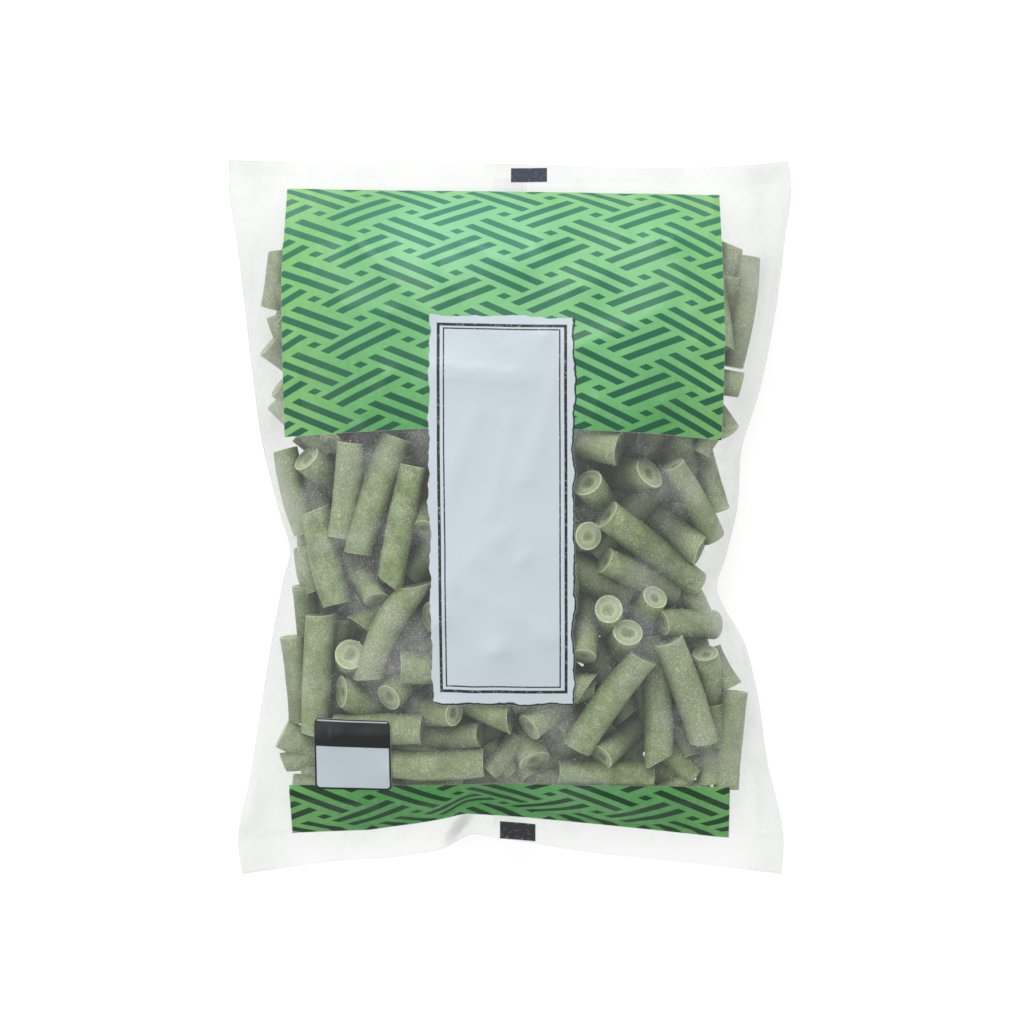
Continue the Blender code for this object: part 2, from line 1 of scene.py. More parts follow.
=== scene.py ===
# %% [markdown]
# # A clear packet of frozen cut green beans
# The real object is a bag of thin clear film, welded along both ends and down the middle of its back,
# with half a kilogram of cut green beans frozen inside. A green fence pattern, a pale label panel and
# a small box are printed on its front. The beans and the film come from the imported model, so this
# script first opens that model. It then builds a finer film and finer beans in the same places.

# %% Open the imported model
import math

import bpy
import numpy as np
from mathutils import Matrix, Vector


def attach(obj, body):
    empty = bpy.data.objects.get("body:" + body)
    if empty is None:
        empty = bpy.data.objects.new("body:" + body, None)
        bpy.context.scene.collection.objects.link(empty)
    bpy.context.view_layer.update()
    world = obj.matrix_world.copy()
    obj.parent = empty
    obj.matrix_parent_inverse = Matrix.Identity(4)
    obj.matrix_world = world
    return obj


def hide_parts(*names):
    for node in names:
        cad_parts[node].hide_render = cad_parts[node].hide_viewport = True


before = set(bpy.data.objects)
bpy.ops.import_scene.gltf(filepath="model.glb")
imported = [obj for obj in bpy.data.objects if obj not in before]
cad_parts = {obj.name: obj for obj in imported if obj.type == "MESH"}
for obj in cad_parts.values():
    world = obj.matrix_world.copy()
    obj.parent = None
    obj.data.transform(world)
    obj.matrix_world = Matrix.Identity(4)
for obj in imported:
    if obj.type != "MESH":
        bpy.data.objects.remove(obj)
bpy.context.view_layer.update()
MM = 0.001

# %% [markdown]
# ## The packet's outline and its two height sheets
# A filled pillow packet could be blown up by a cloth simulation, but then its outline would be left
# to chance. Here the outline is drawn as four curves, and the front and the back are heights over
# the area between them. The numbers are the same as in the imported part, in millimetres.

# %% Outline and sheets
LENGTH, FULL_HEIGHT, FOLD_HEIGHT, SEAL_HEIGHT = 254.6, 37.5, 12.0, 9.0
TOP_SEAL, BOTTOM_SEAL, SEAL_THICK, FILM_WALL, BEAN_CLEARANCE = 8.0, 12.0, 0.8, 0.45, 0.8
LEFT_EDGE = [(-127, -95.5), (-118, -97.0), (-92, -92.5), (-61, -87.6), (-39, -83.9), (-22, -80.6),
             (-12, -78.2), (0, -81.5), (27, -88.3), (50, -91.5), (99, -97.4), (119, -100.4), (127, -100.2)]
RIGHT_EDGE = [(-127, 96.8), (-117, 97.6), (-86, 91.5), (-60, 87.5), (-42, 82.2), (-33, 76.8), (-26, 73.8),
              (-14, 76.8), (3, 80.8), (25, 82.6), (44, 88.5), (74, 94.7), (99, 98.0), (119, 100.4),
              (127, 99.4)]
TOP_EDGE = [(-100, 127.3), (-57, 126.0), (0, 125.8), (50, 124.3), (85, 125.6), (100, 127.0)]
BOTTOM_EDGE = [(-96, -127.3), (-64, -123.0), (-37, -120.6), (-24, -117.6), (-15, -112.8), (-5, -114.2),
               (8, -116.4), (28, -119.8), (49, -122.0), (70, -124.2), (97, -127.3)]
ACROSS_POWER, ACROSS_ROUND, ALONG_POWER, ALONG_ROUND = 3.2, 0.60, 3.4, 0.62
CORNER_POWER, FLAT_SHARE, BACK_CURVE = 6, 0.58, 1.7
SEAM_HALF, SEAM_THICK = 6.0, 1.2


def curve_through(points, x):
    """Read a smooth curve through the points: cubic pieces whose slopes come from their neighbours."""
    knots, values = np.array(points, float).T
    slopes = np.gradient(values, knots)
    i = np.clip(np.searchsorted(knots, x) - 1, 0, len(knots) - 2)
    step = knots[i + 1] - knots[i]
    u = np.clip((x - knots[i]) / step, 0.0, 1.0)
    return ((1 + 2 * u) * (1 - u) ** 2 * values[i] + u * (1 - u) ** 2 * step * slopes[i]
            + u * u * (3 - 2 * u) * values[i + 1] - u * u * (1 - u) * step * slopes[i + 1])


def plan(s, v):
    """Where (s, v) lies seen from above: s runs across from -1 to 1, v from bottom 0 to top 1."""
    level = (v - 0.5) * LENGTH
    left, right = curve_through(LEFT_EDGE, level), curve_through(RIGHT_EDGE, level)
    x = (left + right) / 2 + s * (right - left) / 2
    bottom, top = curve_through(BOTTOM_EDGE, s * 97), curve_through(TOP_EDGE, s * 100)
    return x, bottom + v * (top - bottom)


def along(v):
    """The fill's own measure along the packet, -1 and 1 at the inner lines of the two seals."""
    low, high = BOTTOM_SEAL / LENGTH, 1 - TOP_SEAL / LENGTH
    return 2 * (v - low) / (high - low) - 1


def swell(x, power, roundness):
    """1 at the middle and 0 at the edge; past 0.97 it runs straight on, so that it falls below 0."""
    joint, step = 0.97, 0.01
    inside = np.minimum(np.abs(x), joint)
    value = (1 - inside ** power) ** roundness
    before = (1 - (joint - step) ** power) ** roundness
    last = (1 - joint ** power) ** roundness
    to_zero = last / (1 - joint)
    return value - np.maximum(np.abs(x) - joint, 0.0) * np.maximum(to_zero, (before - last) / step)


def fold_height(s, v):
    """Height of the mid-line between front and back: the side folds, and the wavy end seals."""
    t = np.clip(along(v), -1.0, 1.0)
    x = s * 98
    top = SEAL_HEIGHT + 1.2 * np.sin(x / 23 + 0.6)
    bottom = SEAL_HEIGHT - 1.0 + 6.0 * np.exp(-((x + 16) / 16) ** 2) + 1.0 * np.sin(x / 19 + 2.0)
    seals = np.where(t > 0, top, bottom)
    return seals + (FOLD_HEIGHT - seals) * (1 - t * t)


def front(s, v):
    """Outer height of the printed front: the fold's height plus a swell both ways."""
    lengthways = np.maximum(swell(along(v), ALONG_POWER, ALONG_ROUND), 0.0)
    rise = (FULL_HEIGHT - FOLD_HEIGHT) * lengthways * swell(s, ACROSS_POWER, ACROSS_ROUND)
    return fold_height(s, v) + rise + SEAL_THICK / 2


def back(s, v):
    """Outer height of the back: flat on the table, rising to the folds and seals."""
    corner = np.abs(s) ** CORNER_POWER + np.abs(along(v)) ** CORNER_POWER
    reach = np.clip(corner ** (1 / CORNER_POWER), 0.0, 1.0)
    curl = np.clip((reach - FLAT_SHARE) / (1 - FLAT_SHARE), 0.0, 1.0) ** BACK_CURVE
    return (fold_height(s, v) - SEAL_THICK / 2) * curl


def under(s, v):
    """The back as the fill feels it: raised over the welded seam band, less one wall."""
    x, _ = plan(s, v)
    band = np.clip(1 - (x / (SEAM_HALF * 2)) ** 4, 0, 1)
    return np.maximum(back(s, v), (SEAM_THICK - FILM_WALL) * band)


def where(x, y):
    """The (s, v) of a point seen from above, found by a few rounds of correction."""
    v = y / LENGTH + 0.5
    for _ in range(4):
        level = (v - 0.5) * LENGTH
        left, right = curve_through(LEFT_EDGE, level), curve_through(RIGHT_EDGE, level)
        s = (2 * x - left - right) / (right - left)
        bottom = curve_through(BOTTOM_EDGE, np.clip(s, -1, 1) * 97)
        top = curve_through(TOP_EDGE, np.clip(s, -1, 1) * 100)
        v = (y - bottom) / (top - bottom)
    return s, v


def between_points(layers, i_place, j_place):
    """Each layer's value between its grid points: its four nearest, each weighed by its nearness."""
    i, j = i_place.astype(int), j_place.astype(int)
    a, b = i_place - i, j_place - j
    return [(1 - a) * (1 - b) * m[i, j] + a * (1 - b) * m[i + 1, j]
            + (1 - a) * b * m[i, j + 1] + a * b * m[i + 1, j + 1] for m in layers]


class HeightMap:
    """A height over the plan on an even grid, read back with its slopes by blending four corners."""

    def __init__(self, height, step=1.5, half_x=106.5, half_y=132.0):
        self.step, self.half_x, self.half_y = step, half_x, half_y
        xs = np.arange(-half_x, half_x + step / 2, step)
        ys = np.arange(-half_y, half_y + step / 2, step)
        x, y = np.meshgrid(xs, ys, indexing="ij")
        values = height(*where(x, y))
        self.layers = [np.round(a, 6) for a in (values, *np.gradient(values, step))]

    def read(self, x, y):
        """Height and its slopes along x and y."""
        rows, columns = self.layers[0].shape
        return between_points(self.layers, np.clip((x + self.half_x) / self.step, 0, rows - 1.001),
                              np.clip((y + self.half_y) / self.step, 0, columns - 1.001))


print("height of the front at its middle:", round(float(front(0.0, 0.5)), 1), "mm")

# %% [markdown]
# ## The heap of beans
# Beans that show through the film are placed one by one. The rest could be dropped with a
# physics simulation, but that is slow and hard to repeat exactly. Here each bean is a stick, and in
# every pass the sticks that run into each other, or into the film, are pushed apart a little. The
# rule, its numbers and its seed are the imported part's own, so each bean lands where the part has it.

# %% Where each bean lies
# x, y of the raised end, heading in plan, dip from level, length, diameter, depth of its top below the
# film, slant of the near cut and of the far cut
LEADS = [
    (-73, 20, -46, 36, 24, 10.8, 0, 0, 0),       # ring face, upper left
    (-63, 26, 59, 50, 24, 9.1, 3, 0, 0),         # round end under the print
    (-56, 24, -106, 4, 34, 9.1, 3, 0, 0),        # leaning, left of the long one
    (-58, -12, 66, 3, 44, 11.3, 0, 10, 0),       # long one, upper left
    (-43, -26, 75, 5, 44, 9.8, 2, -25, 0),       # right of the long one
    (-32, -4, 66, 42, 24, 10.1, 1, 0, 0),        # ring face beside the label
    (-58, -30, 118, 8, 35, 10.6, 1, 0, 10),      # left slant
    (-45, -28, 141, 20, 31, 9.1, 1, -20, 0),     # short one with a ring face
    (-66, -35, -97, 3, 44, 10.5, 0, 8, -8),      # upright, lower left
    (-56, -48, -109, 60, 19, 11.6, 0, 0, 0),     # end-on with two seed hollows
    (-54, -39, 26, 14, 31, 9.8, 4, 25, 0),       # behind the curved one
    (-30, -22, -115, 3, 42, 10.5, 0, 38, 30),    # curved one
    (-40, -53, 1, 4, 34, 11.4, 3, 0, 0),         # under the label, low
    (-28, -35, 11, 38, 24, 11.4, 1, 0, 0),       # half end beside the label
    (-61, -60, -25, 30, 24, 10.1, 2, 25, 0),     # slanted end, low left
    (-42, -63, 30, 48, 24, 10.1, 1, 0, 0),       # ring, low left
    (-19, -68, 168, 32, 24, 9.8, 2, 0, 0),       # oval end below the label
    (-30, -75, 179, 2, 32, 10.5, 2, -6, 0),      # flat one by the small box
    (-10, -77, 180, 10, 31, 9.8, 6, 0, 0),       # flat one behind it
    (-9, -87, -179, 3, 34, 10.1, 4, 0, 0),       # flat one near the band
    (-83, -75, -38, 10, 33, 10.4, 2, 0, 0),      # low left corner
    (-79, -42, -87, 12, 31, 9.1, 3, 0, 0),       # left edge
    (-76, -26, -101, 20, 31, 9.1, 3, 0, 0),      # left edge, middle
    (-82, 23, -72, 14, 31, 9.4, 3, 0, 0),        # left edge, high
    (-85, 61, -45, 24, 31, 9.1, 2, 0, 0),        # left edge under the margin
    (-82, 72, -18, 20, 31, 8.7, 2, 0, 0),        # left edge, second
    (-82, 46, -39, 20, 31, 8.7, 2, 0, 0),        # left edge, third
    (-80, -101, 14, 5, 30, 9.1, 2, 0, 0),        # low left tip
    (38, 24, 168, 14, 34, 12.0, 1, 0, 0),        # rounded, upper right
    (50, 16, -155, 58, 19, 10.8, 0, 35, 0),      # long ring, upper right
    (58, 19, -63, 12, 32, 8.6, 3, 0, 0),         # thin one, upper right
    (27, 12, -50, 30, 24, 10.6, 1, 0, 0),        # short one beside the label
    (69, -12, 140, 3, 38, 10.6, 0, 12, 0),       # upper diagonal
    (34, 1, -42, 4, 44, 11.3, 0, 0, 0),          # long diagonal
    (27, -7, 162, 68, 19, 10.5, 0, 0, 0),        # round disc
    (33, -16, -21, 14, 31, 9.4, 6, 0, 0),        # deep one, middle right
    (53, -26, -125, 42, 24, 9.8, 1, 0, 0),       # oval end, middle right
    (33, -32, -82, 62, 19, 9.8, 1, 0, 0),        # small ring
    (42, -41, -108, 60, 19, 10.5, 0, 0, 0),      # round face, right
    (27, -49, 72, 26, 31, 9.4, 1, 0, 0),         # hollow end beside the label
    (56, -39, 20, 18, 24, 9.8, 1, 18, 0),        # oval end, right
    (70, -49, -94, 34, 24, 9.4, 2, 0, 0),        # round face, far right
    (29, -60, 180, 10, 31, 9.4, 1, -35, 0),      # tapered end beside the label
    (24, -82, 58, 3, 41, 10.5, 0, 8, 8),         # fan, left
    (51, -88, 91, 4, 46, 10.5, 0, 25, 0),        # fan, middle
    (68, -79, 111, 4, 40, 11.3, 0, -12, 0),      # fan, right
    (33, -84, 29, 12, 28, 9.4, 3, 0, 0),         # tapered one in the fan
    (7, -75, 30, 22, 34, 10.5, 1, 0, 0),         # low middle
    (17, -76, 48, 35, 24, 8.6, 4, 0, 0),         # small round end
    (9, -86, 117, 32, 24, 10.5, 3, 0, 0),        # dark end, low middle
    (17, -90, -2, 3, 34, 9.8, 3, 0, 0),          # flat one above the band
    (1, -71, 160, 8, 32, 10.5, 1, 25, 0),        # below the label
    (78, -97, 91, 4, 35, 9.2, 2, 0, 0),          # right edge, low
    (65, -83, 109, 38, 24, 9.1, 3, 0, 0),        # round icy end
    (87, 93, -102, 4, 40, 9.1, 2, 0, 0),         # tall one, upper right
    (82, 46, 167, 12, 31, 8.7, 3, 0, 0),         # right edge, high
    (79, 30, 121, 12, 31, 9.1, 3, 0, 0),         # right edge, second
    (77, 1, 110, 8, 32, 9.1, 3, 0, 0),           # right edge, third
]
FILLERS, FILLER_COLUMNS, TOP_BIAS, SINK, SEED = 104, 8, 0.80, 8.0, 28
LABEL_LEFT, LABEL_RIGHT, LABEL_BOTTOM, PRINT_BOTTOM = -24.0, 20.0, -62.0, 34.0
FILLER_LENGTH, FILLER_DIAMETER, CLING = (30.0, 42.0), (9.0, 11.2), 0.8
PASSES, GROWING_PASSES, SETTLE_PASSES, ROUNDING = 420, 160, 60, 1e-5
NEAR_HOLD, FAR_HOLD, LEAD_GIVE = (0.05, 0.05, 0.01), (0.03, 0.03, 0.01), 0.15
FILL_TOP, FILL_BOTTOM, FILL_HALF_WIDTH, FILL_INSET = 101.0, -107.0, 72.0, 24.0
BEAN_SIDES, BEAN_TURN, FACET_MAKEUP = 8, math.pi / 8, 1.035
SLANT_SPREAD, SLANT_LIMIT, DIP_SPREAD, DRAW_IN, CORNER_CLEARANCE = 12.0, 24.0, 10.0, 0.6, 0.8
UPRIGHT, PUSH, PUSH_LIMIT, END_ROOM = 0.97, 0.55, 3.0, 0.6


def dot(a, b):
    return a[:, 0] * b[:, 0] + a[:, 1] * b[:, 1] + a[:, 2] * b[:, 2]


def direction(heading, dip):
    """Unit vector for a heading in plan and a dip below level, both in degrees."""
    heading, dip = np.radians(heading), np.radians(dip)
    return np.stack([np.cos(dip) * np.cos(heading), np.cos(dip) * np.sin(heading), -np.sin(dip)], axis=-1)


def nearest_points(start_i, end_i, start_j, end_j):
    """Share along each of two straight lines at which they come closest."""
    run_i, run_j, gap = end_i - start_i, end_j - start_j, start_i - start_j
    a, e, b = dot(run_i, run_i), dot(run_j, run_j), dot(run_i, run_j)
    c, f = dot(run_i, gap), dot(run_j, gap)
    spread = np.maximum(a * e - b * b, 1e-6)
    share_i = np.clip((b * f - c * e) / spread, 0, 1)
    share_j = np.clip((b * share_i + f) / e, 0, 1)
    return np.clip((b * share_j - c) / a, 0, 1), share_j


def across_axis(way):
    """Two unit vectors square to each bean's axis: one level, or along y where the bean is upright."""
    steep = np.abs(way[:, 2:3]) > UPRIGHT
    side = np.cross(way, np.where(steep, (0.0, 1.0, 0.0), (0.0, 0.0, 1.0)))
    side /= np.sqrt(dot(side, side))[:, None]
    return side, np.cross(side, way)


def bean_corners(start, end, radius, slants):
    """Corners of every bean's two cut ends, as an array of beans, ends, corners and x, y, z.

    Corners go round the axis at the bean's radius. A slanted cut leans its ring along the axis by the
    tangent of its slant, and is drawn in by part of that, so that the bean keeps its length.
    """
    way = (end - start) / np.sqrt(dot(end - start, end - start))[:, None]
    side, over = across_axis(way)
    angle = BEAN_TURN + 2 * math.pi * np.arange(BEAN_SIDES) / BEAN_SIDES
    round_x, round_y = np.cos(angle)[None, :, None], np.sin(angle)[None, :, None]
    across = round_x * side[:, None] + round_y * over[:, None]
    fat = (radius * FACET_MAKEUP)[:, None, None]
    rings = []
    for centre, number, inwards in ((start, 0, 1.0), (end, 1, -1.0)):
        lean = np.tan(np.radians(slants[:, number]))[:, None, None]
        drawn_in = inwards * DRAW_IN * np.abs(lean)
        rings.append(centre[:, None] + fat * (across + (round_x * lean + drawn_in) * way[:, None]))
    return np.stack(rings, axis=1)


def push_inside(start, end, radius, slants, sheets):
    """Shift whole beans inwards until every corner is clear of the film's inner face."""
    for _ in range(SETTLE_PASSES):
        corners = bean_corners(start, end, radius, slants)
        flat = corners.reshape(-1, 3)
        shift = np.zeros_like(start)
        for sheet, sign in zip(sheets, (-1.0, 1.0)):
            height, slope_x, slope_y = sheet.read(flat[:, 0], flat[:, 1])
            steep = np.sqrt(1 + slope_x ** 2 + slope_y ** 2)
            short = FILM_WALL + CORNER_CLEARANCE - sign * (flat[:, 2] - height) / steep
            inwards = np.stack([-slope_x, -slope_y, np.ones(len(flat))], axis=1) * (sign / steep)[:, None]
            short = np.clip(short, 0, 2).reshape(len(start), -1)
            worst = np.argmax(short, axis=1)
            rows = np.arange(len(start))
            shift += inwards.reshape(len(start), -1, 3)[rows, worst] * short[rows, worst][:, None]
        start = np.round((start + shift) / ROUNDING) * ROUNDING
        end = np.round((end + shift) / ROUNDING) * ROUNDING
    return start, end


def seen_through(point):
    """True where the film over a point is clear: below the print, and not under the label panel."""
    x, y = point[:, 0], point[:, 1]
    under_label = (x > LABEL_LEFT) & (x < LABEL_RIGHT) & (y > LABEL_BOTTOM)
    return (y < PRINT_BOTTOM) & ~under_label


def heap_of_beans():
    """Place every bean: start and end of its axis, radius and the slants of its two cuts.

    Each bean is a stick with round ends. In every pass, sticks that run into each other are pushed
    apart, sticks that touch the film are pushed inwards, and the placed ones are drawn back to
    their places. The sticks grow to full thickness over the first passes.
    """
    rng = np.random.default_rng(SEED)
    lead = np.array(LEADS, float)
    placed = len(lead)
    upper, lower = HeightMap(front), HeightMap(under)
    count = placed + FILLERS
    length = np.concatenate([lead[:, 4], rng.uniform(*FILLER_LENGTH, FILLERS)])
    radius = np.concatenate([lead[:, 5], rng.uniform(*FILLER_DIAMETER, FILLERS)]) / 2
    drawn_slants = np.clip(rng.normal(0, SLANT_SPREAD, (FILLERS, 2)), -SLANT_LIMIT, SLANT_LIMIT)
    slants = np.concatenate([lead[:, 7:9], drawn_slants])
    heading = np.concatenate([lead[:, 2], rng.uniform(0, 360, FILLERS)])
    dip = np.concatenate([lead[:, 3], rng.normal(0, DIP_SPREAD, FILLERS)])
    way = direction(heading, dip)
    core = length - radius                       # the stick's round ends reach to the bean's flat cuts
    film = upper.read(lead[:, 0], lead[:, 1])[0] - FILM_WALL - BEAN_CLEARANCE
    near = np.stack([lead[:, 0], lead[:, 1], film - lead[:, 6] - radius[:placed]], axis=1)
    near += way[:placed] * radius[:placed, None] / 2
    middle = np.empty((count, 3))
    middle[:placed] = near + way[:placed] * core[:placed, None] / 2
    column, row = np.arange(FILLERS) % FILLER_COLUMNS, np.arange(FILLERS) // FILLER_COLUMNS
    side = (column + rng.uniform(0, 1, FILLERS)) / FILLER_COLUMNS
    run = np.minimum((row + rng.uniform(0, 1, FILLERS)) / (FILLERS / FILLER_COLUMNS), 1.0)
    middle[placed:, 0] = FILL_HALF_WIDTH * (2 * side - 1)
    fill_run = FILL_TOP - FILL_BOTTOM - FILL_INSET
    middle[placed:, 1] = FILL_BOTTOM + FILL_INSET / 2 + fill_run * run ** TOP_BIAS
    top = upper.read(middle[placed:, 0], middle[placed:, 1])[0]
    middle[placed:, 2] = FILL_INSET / 4 + (top - FILL_INSET / 2) * rng.uniform(0, 1, FILLERS)
    half = way * core[:, None] / 2
    start, end = middle - half, middle + half
    home_start, home_end = start[:placed].copy(), end[:placed].copy()
    filler = np.arange(count) >= placed
    give = np.where(filler, 1.0, LEAD_GIVE)
    one, other = np.triu_indices(count, 1)
    for number in range(PASSES):
        grown = min(1.0, 0.5 + 0.5 * number / GROWING_PASSES)
        thick = radius * grown
        share_i, share_j = nearest_points(start[one], end[one], start[other], end[other])
        point_i = start[one] + (end[one] - start[one]) * share_i[:, None]
        point_j = start[other] + (end[other] - start[other]) * share_j[:, None]
        apart = point_i - point_j + np.array([0.0, 0.0, 1e-4])
        distance = np.sqrt(dot(apart, apart))
        short = thick[one] + thick[other] - CLING - distance
        hit = short > 0
        i, j = one[hit], other[hit]
        push = apart[hit] / distance[hit][:, None] * short[hit][:, None] * PUSH
        part_i = (give[i] / (give[i] + give[j]))[:, None]
        move_start, move_end = np.zeros_like(start), np.zeros_like(end)
        a, b = share_i[hit][:, None], share_j[hit][:, None]
        np.add.at(move_start, i, push * part_i * (1 - a))
        np.add.at(move_end, i, push * part_i * a)
        np.add.at(move_start, j, -push * (1 - part_i) * (1 - b))
        np.add.at(move_end, j, -push * (1 - part_i) * b)
        start, end = start + move_start, end + move_end
        start[:placed] += np.array(NEAR_HOLD) * (home_start - start[:placed])
        end[:placed] += np.array(FAR_HOLD) * (home_end - end[:placed])
        for share in (0.0, 0.5, 1.0):
            point = start + (end - start) * share
            shift = np.zeros_like(point)
            room = thick + FILM_WALL + BEAN_CLEARANCE + (0.0 if share == 0.5 else END_ROOM)
            sunk_fillers = SINK * filler * seen_through(point)
            for sheet, sign, sink in ((upper, -1.0, sunk_fillers), (lower, 1.0, 0.0)):
                height, slope_x, slope_y = sheet.read(point[:, 0], point[:, 1])
                steep = np.sqrt(1 + slope_x ** 2 + slope_y ** 2)
                clear = sign * (point[:, 2] - height) / steep
                inwards = np.stack([-slope_x, -slope_y, np.ones(count)], axis=1) / steep[:, None] * sign
                shift += inwards * np.clip(room + sink - clear, 0, PUSH_LIMIT)[:, None]
            shift[:, 1] += np.clip(FILL_BOTTOM + thick - point[:, 1], 0, PUSH_LIMIT)
            shift[:, 1] -= np.clip(point[:, 1] + thick - FILL_TOP, 0, PUSH_LIMIT)
            start = start + shift * (1 - share)
            end = end + shift * share
        centre, run_of = (start + end) / 2, end - start
        half = run_of * (core / np.sqrt(dot(run_of, run_of)))[:, None] / 2
        start = np.round((centre - half) / ROUNDING) * ROUNDING
        end = np.round((centre + half) / ROUNDING) * ROUNDING
    reach = (end - start) * (radius / core / 2)[:, None]
    start, end = push_inside(start - reach, end + reach, radius, slants, (upper, lower))
    return start, end, radius, slants


start, end, radius, slants = heap_of_beans()
print("beans placed:", len(start), "of which", len(LEADS), "by eye")

# %% [markdown]
# ## Beans in the last holes
# Seen from above, a real half kilogram leaves no hole to look through. The imported part keeps its heap
# coarse, so a few holes are left. They could be hidden by a dark sheet, but that shows from behind.
# Here short beans are tried at random in the holes, and one is kept where it runs into its
# neighbours by no more than beans that froze together do. The few holes that no try fits get a
# listed short bean, low in the heap, where only its side shows between the others.

# %% Fill the holes
# a grid of cells 1 mm wide, from these halves
half_x, half_y = 104.0, 130.0
grid_x, grid_y = np.meshgrid(np.arange(-half_x, half_x + 0.5), np.arange(-half_y, half_y + 0.5),
                             indexing="ij")
cell_s, cell_v = where(grid_x, grid_y)
HOLE_TRIES, HOLE_CLING, HOLE_CLING_GROWTH, HOLE_SINK = 9000, 2.5, 8.0, 4.5
HOLE_LENGTH, HOLE_DIAMETER = (13.0, 32.0), (7.0, 9.8)
FILLED_ACROSS, FILLED_ALONG, FILLED_TOP, COVERED_SHARE = 0.87, 0.91, 92.0, 0.94
HOLE_SEED, HOLE_DIP, HOLE_SLIDE, LOW_BIAS, HOLE_SLANT, HOLE_SLANT_LIMIT = 41, 12.0, 0.35, 1.6, 9.0, 20.0
# clear height in mm: to spare, under a middle, over an end, under an end, under a low bean
SPARE, MIDDLE_LIFT, END_ROOF, END_BASE, LOW_LIFT = 2.0, 1.6, 2.5, 1.2, 1.4
LOW_SLANTS = (6.0, -6.0)
# x, y, heading, length and diameter of the last short beans, laid low where no try fitted
LOW_BEANS = [(27.5, 17.5, 15, 27, 9.2), (13.3, -78.6, 60, 24, 9.0), (54.5, -90.5, 10, 30, 8.5),
             (-13.5, -92.0, 5, 26, 8.5), (9.0, -92.0, 172, 22, 8.5), (-51.1, -14.2, 70, 20, 8.0),
             (-2.0, -77.7, 45, 18, 8.0), (36.9, 10.7, 120, 18, 8.0), (64.0, -2.5, 60, 18, 8.0),
             (30.3, -15.4, 30, 18, 8.0), (-72.0, -9.0, 93, 20, 6.6), (-60.4, -32.8, 20, 18, 8.0)]


def covered_by(start, end, radius):
    """True for the cells under a stick: those nearer to its line, seen from above, than its radius."""
    run = (end - start)[:2]
    share = ((grid_x - start[0]) * run[0] + (grid_y - start[1]) * run[1]) / max(float(run @ run), 1e-6)
    share = np.clip(share, 0, 1)
    away = np.hypot(grid_x - start[0] - share * run[0], grid_y - start[1] - share * run[1])
    return away < radius * COVERED_SHARE


def fill_holes(start, end, radius, slants):
    """Try seeded short sticks over open cells; keep those that sink into no neighbour too far."""
    rng = np.random.default_rng(HOLE_SEED)
    upper, lower = HeightMap(front), HeightMap(under)
    first = len(start)
    is_open = (np.abs(cell_s) < FILLED_ACROSS) & (np.abs(along(cell_v)) < FILLED_ALONG)
    is_open &= grid_y < FILLED_TOP
    for k in range(first):
        is_open &= ~covered_by(start[k], end[k], radius[k])
    opened = int(is_open.sum())
    for number in range(HOLE_TRIES):
        spots = np.flatnonzero(is_open)
        if len(spots) == 0:
            break
        spot = spots[rng.integers(len(spots))]
        length, thick = rng.uniform(*HOLE_LENGTH), rng.uniform(*HOLE_DIAMETER) / 2
        way = direction(rng.uniform(0, 360), rng.normal(0, HOLE_DIP))
        slide, height = rng.uniform(-HOLE_SLIDE, HOLE_SLIDE) * length, rng.uniform(0, 1)
        x, y = grid_x.flat[spot] + way[0] * slide, grid_y.flat[spot] + way[1] * slide
        roof, base = (float(sheet.read(np.float64(x), np.float64(y))[0]) for sheet in (upper, lower))
        room = roof - HOLE_SINK - base - 2 * thick - SPARE
        if room < 0:
            continue
        middle = np.array([x, y, base + thick + MIDDLE_LIFT + room * height ** LOW_BIAS])
        ends = np.stack([middle - way * length / 2, middle + way * length / 2])
        tops, bases = (sheet.read(ends[:, 0], ends[:, 1])[0] for sheet in (upper, lower))
        if (ends[:, 2] + thick > tops - END_ROOF).any() or (ends[:, 2] - thick < bases + END_BASE).any():
            continue
        core = [np.repeat(tip, len(start), 0) for tip in (ends[:1] + way * thick, ends[1:] - way * thick)]
        a, b = nearest_points(*core, start, end)
        apart = core[0] + (core[1] - core[0]) * a[:, None] - start - (end - start) * b[:, None]
        cling = HOLE_CLING + HOLE_CLING_GROWTH * number / HOLE_TRIES
        if (np.sqrt(dot(apart, apart)) < thick + radius - cling).any():
            continue
        start, end = np.concatenate([start, ends[:1]]), np.concatenate([end, ends[1:]])
        radius = np.append(radius, thick)
        slants = np.concatenate([slants, np.clip(rng.normal(0, HOLE_SLANT, (1, 2)), -HOLE_SLANT_LIMIT,
                                                  HOLE_SLANT_LIMIT)])
        is_open &= ~covered_by(ends[0], ends[1], thick)
    for x, y, heading, length, diameter in LOW_BEANS:
        way, thick = direction(heading, 0), diameter / 2
        ends = np.array([x, y, 0]) + np.stack([-way, way]) * length / 2
        tops, bases = (sheet.read(ends[:, 0], ends[:, 1])[0] for sheet in (upper, lower))
        ends[:, 2] = bases + thick + LOW_LIFT
        print("low bean has", (tops - ends[:, 2] - thick).round(1), "mm over it")
        start, end = np.concatenate([start, ends[:1]]), np.concatenate([end, ends[1:]])
        radius, slants = np.append(radius, thick), np.concatenate([slants, [LOW_SLANTS]])
        is_open &= ~covered_by(ends[0], ends[1], thick)
    print("beans added in holes:", len(start) - first, "open cells", opened, "to", int(is_open.sum()))
    return start, end, radius, slants


PLACED = len(start)
start, end, radius, slants = fill_holes(start, end, radius, slants)
BEANS = len(start)

# %% [markdown]
# ## One bean as a grid of rings
# A cut bean is a slightly bent rod. Its knife-cut ends show a raised skin, flesh with a faint ring in
# it, and a sunken middle where the seeds were. Sculpting each one would take days, and a plain
# cylinder would look like a peg. Here one list of rings describes all of them: how far each ring lies
# from the cut, its share of the radius, and where it is on the bean. The same arithmetic then makes
# every bean at once, and a subdivision modifier rounds the result.

